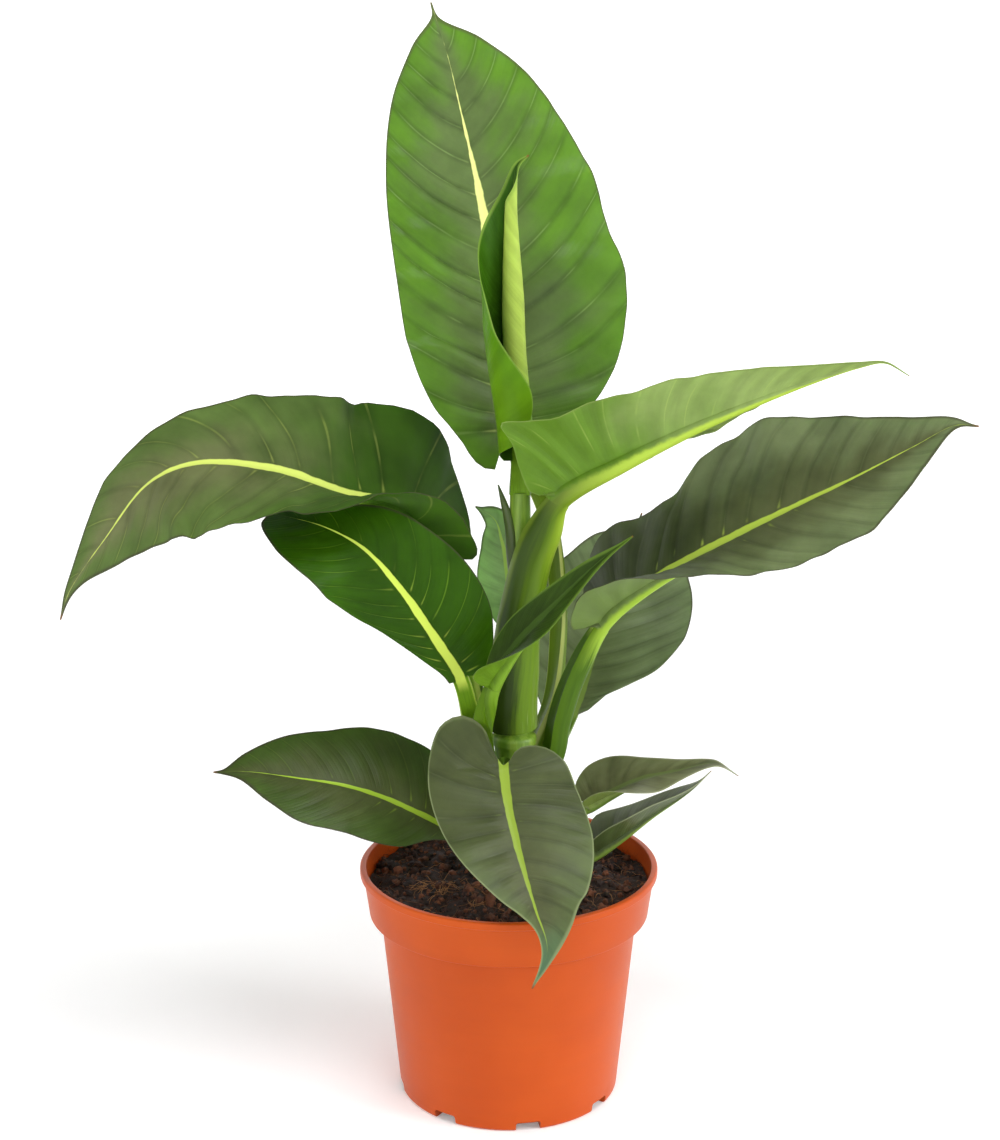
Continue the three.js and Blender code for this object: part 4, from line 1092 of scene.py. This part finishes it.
def pot_material():
    """Satin plastic with faint flow lines, and specks of dirt inside the lip, just over the soil."""
    g = Graph("pot_plastic_look")
    flow = g.noise(1, 3, 0.5, g.place(9, 9, 120))
    clouds = g.noise(14, 3)
    colour = g.mix(g.step(clouds, 0.35, 0.7), (182, 72, 12), (190, 78, 15))
    colour = g.shade(colour, g.between(flow, 0.95, 1.05))
    height = g.height()
    radius = g.node("VectorMath", g.place(1, 1, 0), operation="LENGTH").outputs["Value"]
    widening = g.times(g.math("SUBTRACT", height, POT["lip_bottom"] * MM), POT["lip_taper"])
    lip_foot = g.math("SUBTRACT", radius, widening)
    inner = (POT["lip_foot"] - POT["wall"]) * MM
    inside = g.times(g.step(lip_foot, inner + 1 * MM, inner + 0.6 * MM), g.step(height, *DIRT_FOOT))
    specks = g.step(g.noise(700, 3, 0.6), 0.56, 0.66)
    thinning = g.step(g.shaken(height, g.noise(110, 3), 0.006), *DIRT_TOP)
    g.set("Base Color", g.mix(g.times(specks, thinning, inside, 0.8), colour, (62, 38, 26)))
    g.set("Roughness", g.shaken(g.between(clouds, 0.34, 0.46), flow, 0.04))
    g.set("Specular IOR Level", 0.2)
    g.set("Normal", g.bump(flow, 0.00006, g.bump(g.noise(2600, 3), 0.00003)))
    g.flesh(0.08, (1.0, 0.4, 0.2), 0.002)
    return g.material


def soil_material(name, dark, light):
    """Potting mix; each piece's `tone` moves its colour from dark to light."""
    g = Graph(name)
    mottle = g.noise(420, 4, 0.7)
    colour = g.mix(g.step(g.shaken(g.number("tone"), mottle, 0.45), 0.2, 1.05), dark, light)
    g.set("Base Color", g.shade(colour, g.between(g.noise(2200, 2), 0.6, 1.4)))
    g.set("Roughness", g.between(mottle, 0.75, 1))
    g.set("Normal", g.bump(g.noise(1600, 4, 0.7), 0.0004))
    return g.material


def stem_material():
    """Green skin with fine upright streaks, brown and blotched on the stem's old part."""
    g = Graph("stem_look")
    streaks = g.noise(1, 4, 0.6, g.place(260, 260, 14))
    mottle = g.noise(260, 4, 0.6)
    height = g.height()
    colour = g.mix(g.step(streaks, 0.35, 0.7), (92, 130, 26), (122, 152, 48))
    corky = g.step(g.shaken(height, mottle, 0.02), *CORKY)
    colour = g.mix(g.times(corky, 0.7), colour, (120, 112, 62))
    blotches = g.times(g.step(mottle, 0.62, 0.7), g.step(height, *BLOTCHED))
    colour = g.mix(blotches, colour, (74, 92, 34))
    colour = g.mix(g.number("sheath"), colour, (66, 84, 32))
    g.set("Base Color", g.shade(colour, g.between(streaks, 0.8, 1.2)))
    g.set("Roughness", g.between(mottle, 0.34, 0.55))
    g.set("Normal", g.bump(streaks, 0.00025, g.bump(g.noise(1500, 2), 0.00005)))
    g.flesh(0.1, FLESH, 0.003)
    return g.material


# ---------------- camera, stage and lights
def make_camera():
    camera = added("camera", bpy.data.cameras.new("camera"))
    camera.location = CAMERA_PLACE
    camera.rotation_euler = (math.radians(90 - CAMERA_TILT), 0, 0)
    camera.data.lens = CAMERA_LENS
    camera.data.sensor_width = 36
    bpy.context.scene.camera = camera


def make_stage():
    """A pale floor that turns up all round into a low wall, and glows: dimly near the plant, more further
    out.
    """
    g = Graph("stage_look")
    g.set("Base Color", linear((250, 250, 250)))
    g.set("Roughness", 0.9)
    g.set("Emission Color", (1, 1, 1, 1))
    from_plant = g.node("VectorMath", g.place(), operation="LENGTH").outputs["Value"]
    g.set("Emission Strength", g.between(g.step(from_plant, 0.5, 2.6), *STAGE_GLOW))
    bend = [
        (STAGE_FLAT + STAGE_BEND * math.sin(angle), STAGE_BEND * (1 - math.cos(angle)))
        for angle in np.linspace(0, math.pi / 2, 25)
    ]
    floor = [(radius, 0) for radius in (1, 300, 900, 1700)]
    outline = np.array([*floor, *bend, (STAGE_FLAT + STAGE_BEND, 2600)])
    rows = turned_rows(outline, 96)[::-1]
    stage = new_object("stage", rows.reshape(-1, 3), grid_faces(*rows.shape[:2], closed=True), g.material)


def make_light(name, size, power, place):
    light = added(name, bpy.data.lights.new(name, "AREA"))
    light.data.shape = "DISK"
    light.data.size = size
    light.data.energy = power
    light.visible_camera = False
    light.location = place
    light.rotation_euler = (Vector(place) - Vector(LIGHT_AIM)).to_track_quat("Z", "Y").to_euler()


def make_lights():
    world = bpy.data.worlds.new("world")
    world.use_nodes = True
    world.node_tree.nodes["Background"].inputs["Color"].default_value = (1, 1, 1, 1)
    world.node_tree.nodes["Background"].inputs["Strength"].default_value = WORLD_STRENGTH
    scene = bpy.context.scene
    scene.world = world
    scene.view_settings.view_transform = "Standard"
    for light in LIGHTS:
        make_light(*light)


# ---------------- the whole plant
def corners(bounds):
    return [list(map(float, corner)) for corner in bounds]


def build():
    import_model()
    make_camera()
    make_stage()
    make_lights()

    soil_look = soil_material("soil_look", (32, 18, 10), (108, 62, 36))
    fibre_look = soil_material("fibre_look", (70, 36, 20), (158, 112, 68))
    finished = [
        (pot_piece(pot_material()), "pot", "pot_plastic"),
        (soil_piece(soil_look), "soil", "soil"),
        (stem_piece(stem_material()), "stem", "stem"),
    ]
    for name, look in LOOKS.items():
        piece = Leaf(name).piece(name.replace("leaf", "blade"), leaf_material(name + "_look", look))
        finished.append((piece, name, look["slot"]))
    for piece, node, slot in finished:
        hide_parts(node)
        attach(piece, "root")
    for piece in (crumbs_piece(soil_look), fibres_piece(fibre_look)):
        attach(piece, "root")


build()
